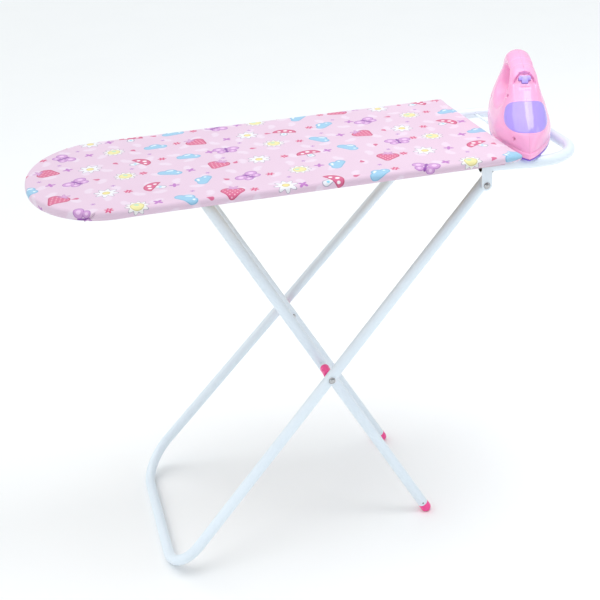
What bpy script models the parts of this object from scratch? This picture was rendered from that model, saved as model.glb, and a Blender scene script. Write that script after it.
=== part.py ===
"""Folding toy ironing board with an iron rest and a toy iron.

Frame: metres, +Z up, origin on the floor under the middle of the object.
+X runs from the rounded nose of the board to the iron rest, -Y is the near side.
The legs stand open. The outer frame is a U that is pivoted under the board's
square end, and the inner frame is an upside-down U that is riveted to it where
the two cross.
"""
import math
import bpy
import bmesh
from mathutils import Vector, Matrix

# ------------------------------------------------------------------ dimensions
BOARD_TOP = 0.5550          # height of the ironing surface
BOARD_X0 = -0.3667          # tip of the rounded nose
BOARD_X1 = 0.2529           # square end
BOARD_HALF = 0.1430         # half width of the board
NOSE_LEN = 0.1055           # length of the rounded nose
CORNER_R = 0.010            # corner radius at the square end

COVER_T = 0.0008            # cloth of the cover
PAD_T = 0.0030              # foam under the cloth
DECK_T = 0.0070             # pressed board
DECK_Z0 = 0.5436            # underside of the pressed board
DECK_Z1 = DECK_Z0 + DECK_T
PAD_Z0 = DECK_Z1 + 0.0003
HEM_IN = 0.0135             # how far the cover turns in underneath

TUBE_R = 0.0075             # all tubes are 15 mm outside
BORE_R = 0.0063             # with a 1.2 mm wall

PIVOT_X, PIVOT_Z = 0.2178, 0.5100    # hinge of the outer frame
LEG_A_TOP = 0.1071          # half distance of the outer legs at the hinge
LEG_A_FOOT = 0.1467         # and at the floor
FOOT_A_X = -0.2493
FOOT_BEND = 0.055
CROSS_T = 0.4823            # where the frames cross, along the outer leg
FOOT_B_X = 0.1413
LEG_B_FOOT = 0.1032
LEG_B_TOP = 0.0593
BAR_Z = 0.5250              # inner frame's top bar when it is open
CAP_LEN = 0.015             # cap below the end of the inner tube

REST_Z = 0.5335             # iron rest, centre of the tube
REST_Y = 0.1104
REST_Y2 = 0.1188
REST_X0 = 0.2116
REST_X1 = 0.3567
REST_BEND = 0.058
WIRE_R = 0.0015
WIRE_X = (0.2665, 0.2990)

GAP = 0.0003
RIVET_R = 0.0025
HOLE_R = 0.0028

IRON_TIP = (0.2692, -0.1369)    # point of the soleplate, seen from above
IRON_TURN = math.radians(18.3)  # the iron lies turned by this from the cross direction
IRON_Z = REST_Z + TUBE_R + GAP
IRON_L = 0.205
IRON_HALF = 0.0415

# ------------------------------------------------------------------ clear scene
for ob in list(bpy.data.objects):
    bpy.data.objects.remove(ob, do_unlink=True)

col = bpy.context.scene.collection
MATS = {}


def material(name, colour, rough=0.5, metal=0.0, alpha=1.0):
    m = bpy.data.materials.new(name)
    m.use_nodes = True
    b = m.node_tree.nodes["Principled BSDF"]
    b.inputs["Base Color"].default_value = (*colour, 1.0)
    b.inputs["Roughness"].default_value = rough
    b.inputs["Metallic"].default_value = metal
    b.inputs["Alpha"].default_value = alpha
    return m


WHITE = (0.80, 0.84, 0.88)
HOT_PINK = (0.78, 0.06, 0.24)
IRON_PINK = (0.98, 0.42, 0.66)
LILAC = (0.52, 0.40, 0.95)
VIOLET = (0.42, 0.24, 0.80)
CLOTH = (0.90, 0.68, 0.80)
STEEL = (0.62, 0.63, 0.65)
DARK = (0.06, 0.05, 0.06)


# ------------------------------------------------------------------ mesh helpers
def add(name, verts, faces, colour, rough=0.5, metal=0.0, smooth=35.0, weld=1e-6):
    me = bpy.data.meshes.new(name)
    bm = bmesh.new()
    vs = [bm.verts.new(v) for v in verts]
    for f in faces:
        idx = []
        for i in f:
            if i not in idx:
                idx.append(i)
        if len(idx) > 2:
            try:
                bm.faces.new([vs[i] for i in idx])
            except ValueError:
                pass
    if weld:
        bmesh.ops.remove_doubles(bm, verts=bm.verts, dist=weld)
    bmesh.ops.dissolve_degenerate(bm, edges=bm.edges, dist=1e-7)
    loose = [v for v in bm.verts if not v.link_faces]
    bmesh.ops.delete(bm, geom=loose, context='VERTS')
    bmesh.ops.recalc_face_normals(bm, faces=bm.faces)
    bm.to_mesh(me)
    bm.free()
    ob = bpy.data.objects.new(name, me)
    col.objects.link(ob)
    if smooth:
        me.shade_smooth()
        me.set_sharp_from_angle(angle=math.radians(smooth))
    me.materials.append(material(name + "_mat", colour, rough, metal))
    return ob


def cutter(name, verts, faces):
    ob = add(name, verts, faces, (0.5, 0.5, 0.5), smooth=0)
    ob.hide_render = True
    ob.display_type = 'WIRE'
    return ob


def boolean(ob, other, op='DIFFERENCE'):
    m = ob.modifiers.new("bool_" + other.name, 'BOOLEAN')
    m.operation = op
    m.solver = 'EXACT'
    m.object = other
    return m


def basis(direction):
    w = Vector(direction).normalized()
    up = Vector((0, 0, 1)) if abs(w.z) < 0.95 else Vector((0, 1, 0))
    u = up.cross(w).normalized()
    return u, w.cross(u), w


def turned(profile, origin, direction, seg=20):
    """Solid of revolution: profile is a list of (distance along the axis, radius).

    A profile that starts and ends at radius 0 is a plain solid. Otherwise it is
    closed on itself, which gives a ring."""
    u, v, w = basis(direction)
    o = Vector(origin)
    verts, faces, rings = [], [], []
    for d, r in profile:
        if r < 1e-9:
            rings.append([len(verts)] * seg)
            verts.append(o + w * d)
        else:
            ring = []
            for i in range(seg):
                a = 2 * math.pi * i / seg
                ring.append(len(verts))
                verts.append(o + w * d + (u * math.cos(a) + v * math.sin(a)) * r)
            rings.append(ring)
    solid = profile[0][1] < 1e-9 and profile[-1][1] < 1e-9
    n = len(rings)
    for k in range(n - 1 if solid else n):
        a, b = rings[k], rings[(k + 1) % n]
        for i in range(seg):
            j = (i + 1) % seg
            faces.append((a[i], a[j], b[j], b[i]))
    return verts, faces


def merge(*parts):
    verts, faces = [], []
    for v, f in parts:
        k = len(verts)
        verts += list(v)
        faces += [tuple(i + k for i in q) for q in f]
    return verts, faces


def rod(a, b, r, seg=16):
    a, b = Vector(a), Vector(b)
    L = (b - a).length
    return turned([(0, 0), (0, r), (L, r), (L, 0)], a, b - a, seg)


def box(x0, x1, y0, y1, z0, z1):
    v = [(x, y, z) for z in (z0, z1) for y in (y0, y1) for x in (x0, x1)]
    f = [(0, 2, 3, 1), (4, 5, 7, 6), (0, 1, 5, 4), (2, 6, 7, 3), (0, 4, 6, 2), (1, 3, 7, 5)]
    return v, f


def fillet(points, radii, steps=8):
    """Polyline with arcs of the given radii at its inner points."""
    pts = [Vector(p) for p in points]
    out = [pts[0]]
    for i in range(1, len(pts) - 1):
        p, a, b = pts[i], pts[i - 1], pts[i + 1]
        r = radii[i - 1]
        da, db = (a - p).normalized(), (b - p).normalized()
        ang = da.angle(db)
        if math.pi - ang < 1e-4:
            out.append(p)
            continue
        cut = r / math.tan(ang / 2)
        c = p + (da + db).normalized() * (r / math.sin(ang / 2))
        s, e = p + da * cut - c, p + db * cut - c
        tot = s.angle(e)
        n = max(2, int(math.ceil(steps * tot / (math.pi / 2))))
        for k in range(n + 1):
            t = k / n
            out.append(c + (s * math.sin((1 - t) * tot) + e * math.sin(t * tot)) / math.sin(tot))
    out.append(pts[-1])
    return out


def tube(points, ro, ri=None, seg=16, closed=False):
    """Tube or rod swept along a polyline, with the rings on the mitre planes."""
    pts = [Vector(p) for p in points]
    n = len(pts)
    tang = []
    for i in range(n):
        if closed:
            a, b = pts[i - 1], pts[(i + 1) % n]
        else:
            a, b = pts[max(i - 1, 0)], pts[min(i + 1, n - 1)]
        tang.append((b - a).normalized())
    u, v, _ = basis(tang[0])
    verts, faces, rings = [], [], []
    for i in range(n):
        if i:
            q = tang[i - 1].rotation_difference(tang[i])
            u = q @ u
        u = (u - tang[i] * u.dot(tang[i])).normalized()
        v = tang[i].cross(u)
        for r in ([ro] if ri is None else [ro, ri]):
            ring = []
            for k in range(seg):
                a = 2 * math.pi * (k + 0.5) / seg
                ring.append(len(verts))
                verts.append(pts[i] + (u * math.cos(a) + v * math.sin(a)) * r)
            rings.append(ring)
    step = 1 if ri is None else 2
    last = n if closed else n - 1
    for i in range(last):
        for s in range(step):
            a, b = rings[i * step + s], rings[((i + 1) % n) * step + s]
            for k in range(seg):
                j = (k + 1) % seg
                faces.append((a[k], a[j], b[j], b[k]))
    if not closed:
        for i in (0, n - 1):
            if ri is None:
                faces.append(tuple(rings[i]))
            else:
                a, b = rings[i * 2], rings[i * 2 + 1]
                for k in range(seg):
                    j = (k + 1) % seg
                    faces.append((a[k], a[j], b[j], b[k]))
    return verts, faces


def outline(inset, n_nose=36, n_corner=4):
    """Board outline drawn in by a distance, anticlockwise from the near rear corner."""
    a, b = NOSE_LEN, BOARD_HALF
    xc = BOARD_X0 + NOSE_LEN
    pts = []
    r = max(CORNER_R - inset, 0.0004)
    for sx, sy, a0 in ((1, -1, -90), (1, 1, 0)):
        cx = BOARD_X1 - max(CORNER_R, inset + 0.0004)
        cy = sy * (b - max(CORNER_R, inset + 0.0004))
        for k in range(n_corner + 1):
            t = math.radians(a0 + 90.0 * k / n_corner)
            pts.append((cx + r * math.cos(t), cy + r * math.sin(t)))
    for k in range(n_nose + 1):
        t = math.radians(90 + 180.0 * k / n_nose)
        x, y = xc + a * math.cos(t), b * math.sin(t)
        nx, ny = math.cos(t) / a, math.sin(t) / b
        L = math.hypot(nx, ny)
        pts.append((x - inset * nx / L, y - inset * ny / L))
    return pts


def stack(loops):
    """Closed solid through a list of (inset, z) levels of the board outline."""
    verts, faces = [], []
    n = len(outline(0.0))
    for inset, z in loops:
        verts += [(x, y, z) for x, y in outline(inset)]
    for k in range(len(loops) - 1):
        a, b = k * n, (k + 1) * n
        for i in range(n):
            j = (i + 1) % n
            faces.append((a + i, a + j, b + j, b + i))
    faces.append(tuple(range(n)))
    m = (len(loops) - 1) * n
    faces.append(tuple(m + i for i in range(n)))
    return verts, faces


def frame_path(side_points, radii, steps=8):
    return fillet(side_points, radii, steps)


# ------------------------------------------------------------------ leg geometry
P = Vector((PIVOT_X, 0, PIVOT_Z))
FOOT_A = Vector((FOOT_A_X, 0, TUBE_R))


def leg_a(t, side):
    """Point on the centre line of an outer leg; t is 0 at the hinge and 1 at the floor."""
    p = P.lerp(FOOT_A, t)
    p.y = side * (LEG_A_TOP + (LEG_A_FOOT - LEG_A_TOP) * t)
    return p


CROSS = leg_a(CROSS_T, 0)
CROSS.y = 0
CROSS_A_Y = LEG_A_TOP + (LEG_A_FOOT - LEG_A_TOP) * CROSS_T
FOOT_B = Vector((FOOT_B_X, 0, 0))
BAR_T = BAR_Z / CROSS.z            # 0 at the floor, 1 at the crossing


def leg_b(t, side):
    """Point on an inner leg; t is 0 at the floor and BAR_T at the top bar."""
    p = FOOT_B.lerp(CROSS, t)
    p.y = side * (LEG_B_FOOT + (LEG_B_TOP - LEG_B_FOOT) * t / BAR_T)
    return p


CROSS_B_Y = leg_b(1.0, 1).y
BAR_X = leg_b(BAR_T, 0).x

# ------------------------------------------------------------------ board
deck = add("deck_panel", *stack([(0.0012, DECK_Z0), (0.0012, DECK_Z1)]), (0.62, 0.47, 0.32), 0.8)

pad = add("foam_pad", *stack([(0.0014, PAD_Z0), (0.0014, PAD_Z0 + 0.0017), (0.0030, PAD_Z0 + PAD_T - 0.0002)]),
          (0.93, 0.92, 0.88), 0.95)

cover = add("cover_fabric", *stack([
    (0.0034, BOARD_TOP), (0.0015, BOARD_TOP - 0.0003), (0.0004, BOARD_TOP - 0.0011), (0.0, BOARD_TOP - 0.0024),
    (0.0, DECK_Z0 - 0.0005), (0.0004, DECK_Z0 - 0.0010), (0.0010, DECK_Z0 - 0.0011), (HEM_IN, DECK_Z0 - 0.0011),
    (HEM_IN, DECK_Z0 - 0.0003), (COVER_T, DECK_Z0 - 0.0003), (COVER_T, BOARD_TOP - 0.0026),
    (0.0022, BOARD_TOP - 0.0011), (0.0040, BOARD_TOP - COVER_T)]), CLOTH, 0.9)

cord_path = [(x, y, DECK_Z0 - 0.0013) for x, y in outline(HEM_IN + 0.0014, 40, 3)]
clean = []
for p in cord_path:
    if not clean or (Vector(p) - Vector(clean[-1])).length > 0.002:
        clean.append(p)
hem_cord = add("hem_cord", *tube(clean, 0.0009, None, 6, closed=True), (0.92, 0.90, 0.92), 0.8)

rest_pts = fillet([(REST_X0, -REST_Y, REST_Z), (0.2370, -REST_Y, REST_Z), (0.2850, -REST_Y2, REST_Z),
                   (REST_X1, -REST_Y2, REST_Z), (REST_X1, REST_Y2, REST_Z), (0.2850, REST_Y2, REST_Z),
                   (0.2370, REST_Y, REST_Z), (REST_X0, REST_Y, REST_Z)],
                  [0.07, 0.07, REST_BEND, REST_BEND, 0.07, 0.07], 8)
rest = add("iron_rest_tube", *tube(rest_pts, TUBE_R, BORE_R, 16), WHITE, 0.28)


def rest_y(x):
    """Centre line of the rest's arm at a given x, near side positive."""
    best = None
    for a, b in zip(rest_pts[:-1], rest_pts[1:]):
        if a.y <= 0 and b.y <= 0 and min(a.x, b.x) <= x <= max(a.x, b.x) and abs(a.x - b.x) > 1e-9:
            t = (x - a.x) / (b.x - a.x)
            best = abs(a.y + (b.y - a.y) * t)
            break
    return best


wire_cut = []
for k, x in enumerate(WIRE_X):
    yc = rest_y(x)
    ye = yc - 0.0040
    add("rest_wire_inner" if k == 0 else "rest_wire_outer",
        *rod((x, -ye, REST_Z), (x, ye, REST_Z), WIRE_R, 12), (0.86, 0.86, 0.88), 0.3)
    for s in (-1, 1):
        wire_cut.append(rod((x, s * (yc - 0.0005), REST_Z), (x, s * (yc - 0.012), REST_Z), WIRE_R + 0.0003, 12))

TUBE_SCREW_X = 0.2276
for s in (-1, 1):
    wire_cut.append(rod((TUBE_SCREW_X, s * REST_Y, REST_Z - 0.010), (TUBE_SCREW_X, s * REST_Y, REST_Z + 0.010), 0.0018, 12))
c_rest = cutter("cut_rest_holes", *merge(*wire_cut))
boolean(rest, c_rest)

# screws into the pressed board, all from below
SCREWS = []     # name, x, y, z under the head's seat, shank top


def screw(name, x, y, seat, head_r=0.0032, head_h=0.0016, shank_r=0.0015, into=0.0050):
    top = DECK_Z0 + into
    prof = [(0, 0), (0, head_r * 0.55), (head_h * 0.35, head_r * 0.86), (head_h * 0.8, head_r), (head_h, head_r),
            (head_h, shank_r), (top - seat + head_h - 0.0012, shank_r), (top - seat + head_h, 0)]
    ob = add(name, *turned(prof, (x, y, seat - head_h), (0, 0, 1), 14), STEEL, 0.3, 1.0)
    SCREWS.append((x, y, top))
    return ob


for s, tag in ((-1, "near"), (1, "far")):
    screw("rest_screw_" + tag, TUBE_SCREW_X, s * REST_Y, REST_Z - TUBE_R - 0.0003, 0.0028)

# ------------------------------------------------------------------ hinge brackets
WEB_IN, BR_T = 0.1181, 0.0015
FLANGE_Z = DECK_Z0 - GAP - BR_T          # underside of the bracket's flange
FLANGE_END = 0.0780


def bracket(side, tag):
    """Steel strip: a web with a round lower end, bent over to a flange under the board."""
    half = 0.0070
    path = []       # (y, z, half width) of the outboard surface, from the lower end up
    for k in range(7):
        a = math.radians(-90 + 15 * k)
        path.append((WEB_IN + BR_T, PIVOT_Z + half * math.sin(a), max(half * math.cos(a), 0.0009)))
    r_out = 0.0026
    zt = FLANGE_Z + BR_T
    path.append((WEB_IN + BR_T, zt - r_out, half))
    for k in range(1, 5):
        a = math.radians(22.5 * k)
        path.append((WEB_IN + BR_T - r_out + r_out * math.cos(a), zt - r_out + r_out * math.sin(a), half))
    for k in range(7):
        a = math.radians(90 - 15 * k)
        d = half * math.cos(a)
        path.append((FLANGE_END + half - d, zt, max(half * math.sin(a), 0.0009)))
    inner = []
    for i, (y, z, h) in enumerate(path):
        a = path[max(i - 1, 0)]
        b = path[min(i + 1, len(path) - 1)]
        ty, tz = b[0] - a[0], b[1] - a[1]
        L = math.hypot(ty, tz)
        inner.append((y - BR_T * tz / L, z + BR_T * ty / L, h))
    verts, faces = [], []
    for (y, z, h), (yi, zi, hi) in zip(path, inner):
        verts += [(PIVOT_X - h, side * y, z), (PIVOT_X + h, side * y, z),
                  (PIVOT_X + h, side * yi, zi), (PIVOT_X - h, side * yi, zi)]
    for k in range(len(path) - 1):
        a, b = 4 * k, 4 * (k + 1)
        for i in range(4):
            j = (i + 1) % 4
            faces.append((a + i, a + j, b + j, b + i))
    faces.append((0, 1, 2, 3))
    m = 4 * (len(path) - 1)
    faces.append((m, m + 1, m + 2, m + 3))
    ob = add("pivot_bracket_" + tag, verts, faces, WHITE, 0.3)
    holes = [rod((PIVOT_X, side * 0.110, PIVOT_Z), (PIVOT_X, side * 0.126, PIVOT_Z), HOLE_R, 16)]
    for i, y in enumerate((0.0975, 0.0855)):
        holes.append(rod((PIVOT_X, side * y, FLANGE_Z - 0.003), (PIVOT_X, side * y, FLANGE_Z + BR_T + 0.002), 0.0018, 12))
        screw("bracket_screw_%s_%d" % (tag, i + 1), PIVOT_X, side * y, FLANGE_Z - 0.0001)
    boolean(ob, cutter("cut_bracket_" + tag, *merge(*holes)))
    return ob


def spacer_plate(side, tag):
    """White plastic distance piece between the bracket and the outer leg."""
    y0, y1 = 0.1156, 0.1178
    half = 0.0067
    pts = []
    for k in range(13):
        a = math.radians(180 + 15 * k)
        pts.append((PIVOT_X + half * math.cos(a), PIVOT_Z + half * math.sin(a)))
    pts += [(PIVOT_X + half, PIVOT_Z + 0.0085), (PIVOT_X + half - 0.002, PIVOT_Z + 0.0105),
            (PIVOT_X - half + 0.002, PIVOT_Z + 0.0105), (PIVOT_X - half, PIVOT_Z + 0.0085)]
    n = len(pts)
    verts = [(x, side * y0, z) for x, z in pts] + [(x, side * y1, z) for x, z in pts]
    faces = [tuple(range(n)), tuple(range(n, 2 * n))]
    faces += [(i, (i + 1) % n, n + (i + 1) % n, n + i) for i in range(n)]
    ob = add("pivot_spacer_" + tag, verts, faces, (0.88, 0.90, 0.93), 0.45)
    boolean(ob, cutter("cut_pivot_spacer_" + tag,
                       *rod((PIVOT_X, side * 0.110, PIVOT_Z), (PIVOT_X, side * 0.126, PIVOT_Z), HOLE_R, 16)))
    return ob


def rivet(name, x, z, y_tail, y_head, side, head_r=0.0046, colour=STEEL):
    """Rivet along Y: domed head outboard at y_head, flat tail inboard at y_tail."""
    L = y_head - y_tail
    prof = [(-0.0014, 0), (-0.0014, 0.0026), (-0.0010, 0.0036), (0, 0.0038), (0, RIVET_R), (L, RIVET_R),
            (L, head_r), (L + 0.0007, head_r * 0.97), (L + 0.0014, head_r * 0.80),
            (L + 0.0020, head_r * 0.52), (L + 0.0023, head_r * 0.22), (L + 0.0024, 0)]
    return add(name, *turned(prof, (x, side * y_tail, z), (0, side, 0), 16), colour, 0.22, 1.0)


for s, tag in ((-1, "near"), (1, "far")):
    bracket(s, tag)
    spacer_plate(s, tag)
    rivet("pivot_rivet_" + tag, PIVOT_X, PIVOT_Z, LEG_A_TOP - TUBE_R - 0.0006, WEB_IN + BR_T + 0.0002, s)

# ------------------------------------------------------------------ catch for the inner frame
bx = BAR_X
top = DECK_Z0 - GAP
cat = []
prof = [(bx - 0.0035, top), (bx + 0.0300, top), (bx + 0.0300, top - 0.0030), (bx + 0.0165, top - 0.0030),
        (bx + 0.0135, top - 0.0060), (bx + 0.0120, BAR_Z - 0.0105), (bx + 0.0105, BAR_Z - 0.0115),
        (bx - 0.0035, BAR_Z - 0.0115), (bx - 0.0055, BAR_Z - 0.0106), (bx - 0.0055, BAR_Z - 0.0092),
        (bx - 0.0030, BAR_Z - 0.0081), (bx + 0.0035, BAR_Z - 0.0081), (bx + 0.0074, BAR_Z - 0.0050),
        (bx + 0.0081, BAR_Z), (bx + 0.0074, BAR_Z + 0.0050), (bx + 0.0045, BAR_Z + 0.0080),
        (bx - 0.0035, BAR_Z + 0.0080)]
half = 0.0240
n = len(prof)
verts = [(x, -half, z) for x, z in prof] + [(x, half, z) for x, z in prof]
faces = [tuple(range(n)), tuple(range(n, 2 * n))] + [(i, (i + 1) % n, n + (i + 1) % n, n + i) for i in range(n)]
catch = add("leg_catch", verts, faces, (0.86, 0.88, 0.92), 0.45)
holes = []
for s, tag in ((-1, "near"), (1, "far")):
    holes.append(rod((bx + 0.0235, s * 0.0150, top - 0.0050), (bx + 0.0235, s * 0.0150, top + 0.002), 0.0018, 12))
    screw("catch_screw_" + tag, bx + 0.0235, s * 0.0150, top - 0.0030 - 0.0002)
boolean(catch, cutter("cut_catch", *merge(*holes)))

# pilot holes in the pressed board
boolean(deck, cutter("cut_deck", *merge(*[rod((x, y, DECK_Z0 - 0.002), (x, y, zt + 0.0006), 0.0018, 12)
                                            for x, y, zt in SCREWS])))

# ------------------------------------------------------------------ outer frame
END_T = -0.0085 / (FOOT_A - P).length
side_pts = [leg_a(END_T, -1), leg_a(1.0, -1), leg_a(1.0, 1), leg_a(END_T, 1)]
a_path = fillet(side_pts, [FOOT_BEND, FOOT_BEND], 10)
outer = add("outer_leg_tube", *tube(a_path, TUBE_R, BORE_R, 16), WHITE, 0.28)
holes = []
for s in (-1, 1):
    holes.append(rod((PIVOT_X, s * 0.090, PIVOT_Z), (PIVOT_X, s * 0.125, PIVOT_Z), HOLE_R, 16))
    holes.append(rod((CROSS.x, s * (CROSS_A_Y - 0.015), CROSS.z), (CROSS.x, s * (CROSS_A_Y + 0.015), CROSS.z), HOLE_R, 16))
for y in (0.028, -0.0135):
    holes.append(rod((FOOT_A_X + 0.002, y, TUBE_R + 0.0012), (FOOT_A_X + 0.012, y, TUBE_R + 0.0030), 0.0012, 10))
boolean(outer, cutter("cut_outer_leg", *merge(*holes)))

for s, tag in ((-1, "near"), (1, "far")):
    rivet("cross_rivet_" + tag, CROSS.x, CROSS.z, CROSS_B_Y - TUBE_R - 0.0006, CROSS_A_Y + TUBE_R + 0.0004, s, 0.0048)
    d = leg_a(END_T, s) - leg_a(END_T + 0.01, s)
    e = leg_a(END_T, s)
    add("leg_end_plug_" + tag, *turned([(-0.0042, 0), (-0.0042, 0.0058), (0.0003, 0.0060), (0.0003, 0.0071),
                                        (0.0010, 0.0070), (0.0015, 0.0058), (0.0015, 0)], e, d, 16), DARK, 0.5)

# ------------------------------------------------------------------ inner frame
AXIS_B = leg_b(0.0, 1) - leg_b(1.0, 1)
UNIT_B = AXIS_B.length
T_END = CAP_LEN / UNIT_B           # tube stops this far above the floor
b_pts = [leg_b(T_END, -1), leg_b(BAR_T, -1), leg_b(BAR_T, 1), leg_b(T_END, 1)]
b_path = fillet(b_pts, [0.026, 0.026], 8)
inner = add("inner_leg_tube", *tube(b_path, TUBE_R, BORE_R, 16), WHITE, 0.28)
holes = []
for s in (-1, 1):
    holes.append(rod((CROSS.x, s * (CROSS_B_Y - 0.015), CROSS.z), (CROSS.x, s * (CROSS_B_Y + 0.015), CROSS.z), HOLE_R, 16))
    q = leg_b(T_END + 0.0045 / UNIT_B, s)
    holes.append(rod((q.x, s * (abs(q.y) + 0.0045), q.z), (q.x, s * (abs(q.y) + 0.012), q.z), 0.0013, 10))
boolean(inner, cutter("cut_inner_leg", *merge(*holes)))

for s, tag in ((-1, "near"), (1, "far")):
    e = leg_b(T_END, s)
    d = leg_b(0.0, s) - leg_b(1.0, s)
    cap = add("foot_cap_" + tag, *turned([
        (-0.0160, 0), (-0.0160, 0.0054), (-0.0150, 0.0060), (0.0003, 0.0060), (0.0003, 0.0072), (0.0015, 0.0075),
        (0.0070, 0.0078), (0.0120, 0.0078), (0.0160, 0.0074), (0.0200, 0.0062), (0.0220, 0.0040), (0.0225, 0)],
        e, d, 20), HOT_PINK, 0.4)
    boolean(cap, cutter("cut_cap_" + tag, *box(e.x - 0.05, e.x + 0.05, e.y - 0.05, e.y + 0.05, -0.05, 0.0)))
    q = leg_b(T_END + 0.0045 / UNIT_B, s)
    yo = abs(q.y)
    add("cap_pin_" + tag, *turned([(0, 0), (0, 0.0010), (0.0011, 0.0010), (0.0011, 0)], (q.x, s * (yo + 0.0063), q.z),
                                  (0, s, 0), 10), DARK, 0.5)
    y0, y1 = 0.0962, CROSS_A_Y - TUBE_R - 0.0008
    w0 = CROSS_B_Y + TUBE_R + 0.0008
    add("cross_washer_" + tag, *turned([(0, HOLE_R), (0, 0.0042), (0.0004, 0.0046), (y0 - w0 - 0.0007, 0.0046),
                                        (y0 - w0 - 0.0003, 0.0042), (y0 - w0 - 0.0003, HOLE_R)], (CROSS.x, s * w0, CROSS.z),
                                       (0, s, 0), 16), (0.88, 0.90, 0.93), 0.45)
    add("cross_spacer_" + tag, *turned([(0, HOLE_R), (0, 0.0052), (0.0005, 0.0061), (0.0016, 0.0066), (y1 - y0 - 0.0006, 0.0066),
                                        (y1 - y0, 0.0061), (y1 - y0, HOLE_R)], (CROSS.x, s * y0, CROSS.z),
                                       (0, s, 0), 20), HOT_PINK, 0.4)

# ------------------------------------------------------------------ toy iron
# Iron coordinates: s runs back from the tip, w to the side, h up from the soleplate's underside.
SIN, COS = math.sin(IRON_TURN), math.cos(IRON_TURN)


def iron(s, w, h):
    return Vector((IRON_TIP[0] + s * SIN + w * COS, IRON_TIP[1] + s * COS - w * SIN, IRON_Z + h))


def lerp_table(table, x):
    if x <= table[0][0]:
        return table[0][1]
    for (x0, y0), (x1, y1) in zip(table[:-1], table[1:]):
        if x <= x1:
            return y0 + (y1 - y0) * (x - x0) / (x1 - x0)
    return table[-1][1]


def smooth_table(table, x):
    """Cubic through the table, for outlines without corners."""
    if x <= table[0][0]:
        return table[0][1]
    n = len(table)
    for i in range(n - 1):
        x0, y0 = table[i]
        x1, y1 = table[i + 1]
        if x <= x1:
            h = x1 - x0
            m0 = (y1 - table[i - 1][1]) / (x1 - table[i - 1][0]) if i else (y1 - y0) / h
            m1 = (table[i + 2][1] - y0) / (table[i + 2][0] - x0) if i < n - 2 else (y1 - y0) / h
            t = (x - x0) / h
            return ((2 * t ** 3 - 3 * t * t + 1) * y0 + (t ** 3 - 2 * t * t + t) * h * m0
                    + (-2 * t ** 3 + 3 * t * t) * y1 + (t ** 3 - t * t) * h * m1)
    return table[-1][1]


def heel(s):
    """The body narrows a little towards the heel."""
    return 1 - 0.065 * (max(s - 125, 0) / 60.0) ** 1.6


def plan_half(s):
    """Half width of the soleplate at s millimetres behind its tip."""
    L = IRON_L * 1000
    if s <= 0 or s >= L:
        return 0.0
    w = 41.0
    if s < 120:
        w *= (1 - (1 - s / 120.0) ** 2.0) ** 0.78
    w *= heel(s)
    r = 24.0
    if s > L - r:
        w *= (1 - ((s - (L - r)) / r) ** 2.6) ** (1 / 2.6) * 0.999
    return w


FRONT = [(12, 3.5), (18, 6), (27, 11), (36, 18), (45.5, 28), (54.5, 40), (64, 53), (72.5, 64), (79, 72),
         (83.5, 78), (90, 84), (96, 90), (200, 90)]
TOPLINE = [(86, 91), (90, 94.6), (94, 97), (100, 99), (115, 102), (135, 104.8), (155, 106.8), (168, 107),
           (180, 104.4), (189, 98.2)]
REAR = [(12, 204.0), (40, 203.0), (64, 200.5), (80, 197.5), (92, 193.5), (99, 189.0), (104, 184.0)]
WIDE_F = [(0, 41), (12, 40.5), (25, 38), (45, 31.6), (58, 26.8), (70, 22.8), (80, 20), (90, 18), (100, 16.5), (110, 15)]
WIDE_R = [(0, 41), (12, 40.5), (25, 39.2), (36, 37.0), (48, 33.4), (62, 27.5), (77, 21.2), (92, 16.8), (100, 15.5), (110, 14.5)]


def wide(s, h):
    t = min(max((s - 90) / 60.0, 0), 1)
    t = t * t * (3 - 2 * t)
    return smooth_table(WIDE_F, h) * (1 - t) + smooth_table(WIDE_R, h) * t


def rounded(d, r, p=2.0):
    """0 at the edge, 1 from r inwards, with a round shoulder."""
    if d <= 0:
        return 0.0
    if d >= r:
        return 1.0
    return (1 - (1 - d / r) ** p) ** (1 / p)


HOLE_C = (128.5, 68.5)


def hole_pt(a):
    """Finger opening, at angle a about its middle: a rounded, slightly leaning slot."""
    c, s = math.cos(a), math.sin(a)
    k = (abs(c / 31.0) ** 3 + abs(s / 18.5) ** 3) ** (-1 / 3)
    x, y = k * c, k * s
    return HOLE_C[0] + x + 0.22 * y, HOLE_C[1] + y + 0.05 * x


HOLE_LINE = [hole_pt(2 * math.pi * i / 72) for i in range(72)]


def hole_dist(s, h):
    return min(math.hypot(s - a, h - b) for a, b in HOLE_LINE)


def body_half(s, h):
    """Half width of the iron's shell at s, h (millimetres)."""
    f = smooth_table(FRONT, h) if h < 96 else 90.0
    run = s - f
    k = min(max((h - 12) / 75.0, 0), 1)
    r = 98 * (1 - k) ** 1.15 + 18
    e = 0.78 - 0.28 * min(k * 4.0, 1)
    g = 0.0 if run <= 0 else (1.0 if run >= r else (1 - (1 - run / r) ** 2.0) ** e)
    top = smooth_table(TOPLINE, s) if s > 86 else 200
    t = rounded(top - h, 15.0, 2.2)
    b = rounded(smooth_table(REAR, h) - s, 22.0, 2.6)
    hd = rounded(hole_dist(s, h), 11.0, 2.2)
    return wide(s, h) * heel(s) * g * t * b * hd


# outer boundary of the side view, starting at the tip, over the top and back along the floor
side = []
for h in (12, 15, 18, 22, 27, 32, 36, 41, 45.5, 50, 54.5, 59, 64, 68, 72.5, 76, 79, 83.5, 87, 90, 93):
    side.append((smooth_table(FRONT, h), h, False))
for s in (90, 95, 102, 111, 122, 134, 146, 157, 165, 172, 179, 184.5):
    side.append((s, smooth_table(TOPLINE, s), False))
for h in (99.0, 95, 89, 81, 70, 56, 42, 28, 19, 12):
    side.append((smooth_table(REAR, h), h, False))
for s in (201, 196, 189, 179, 165, 148, 130, 112, 95, 78, 63, 49, 36, 25, 16, 10, 6):
    side.append((s, 12.0, True))


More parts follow.
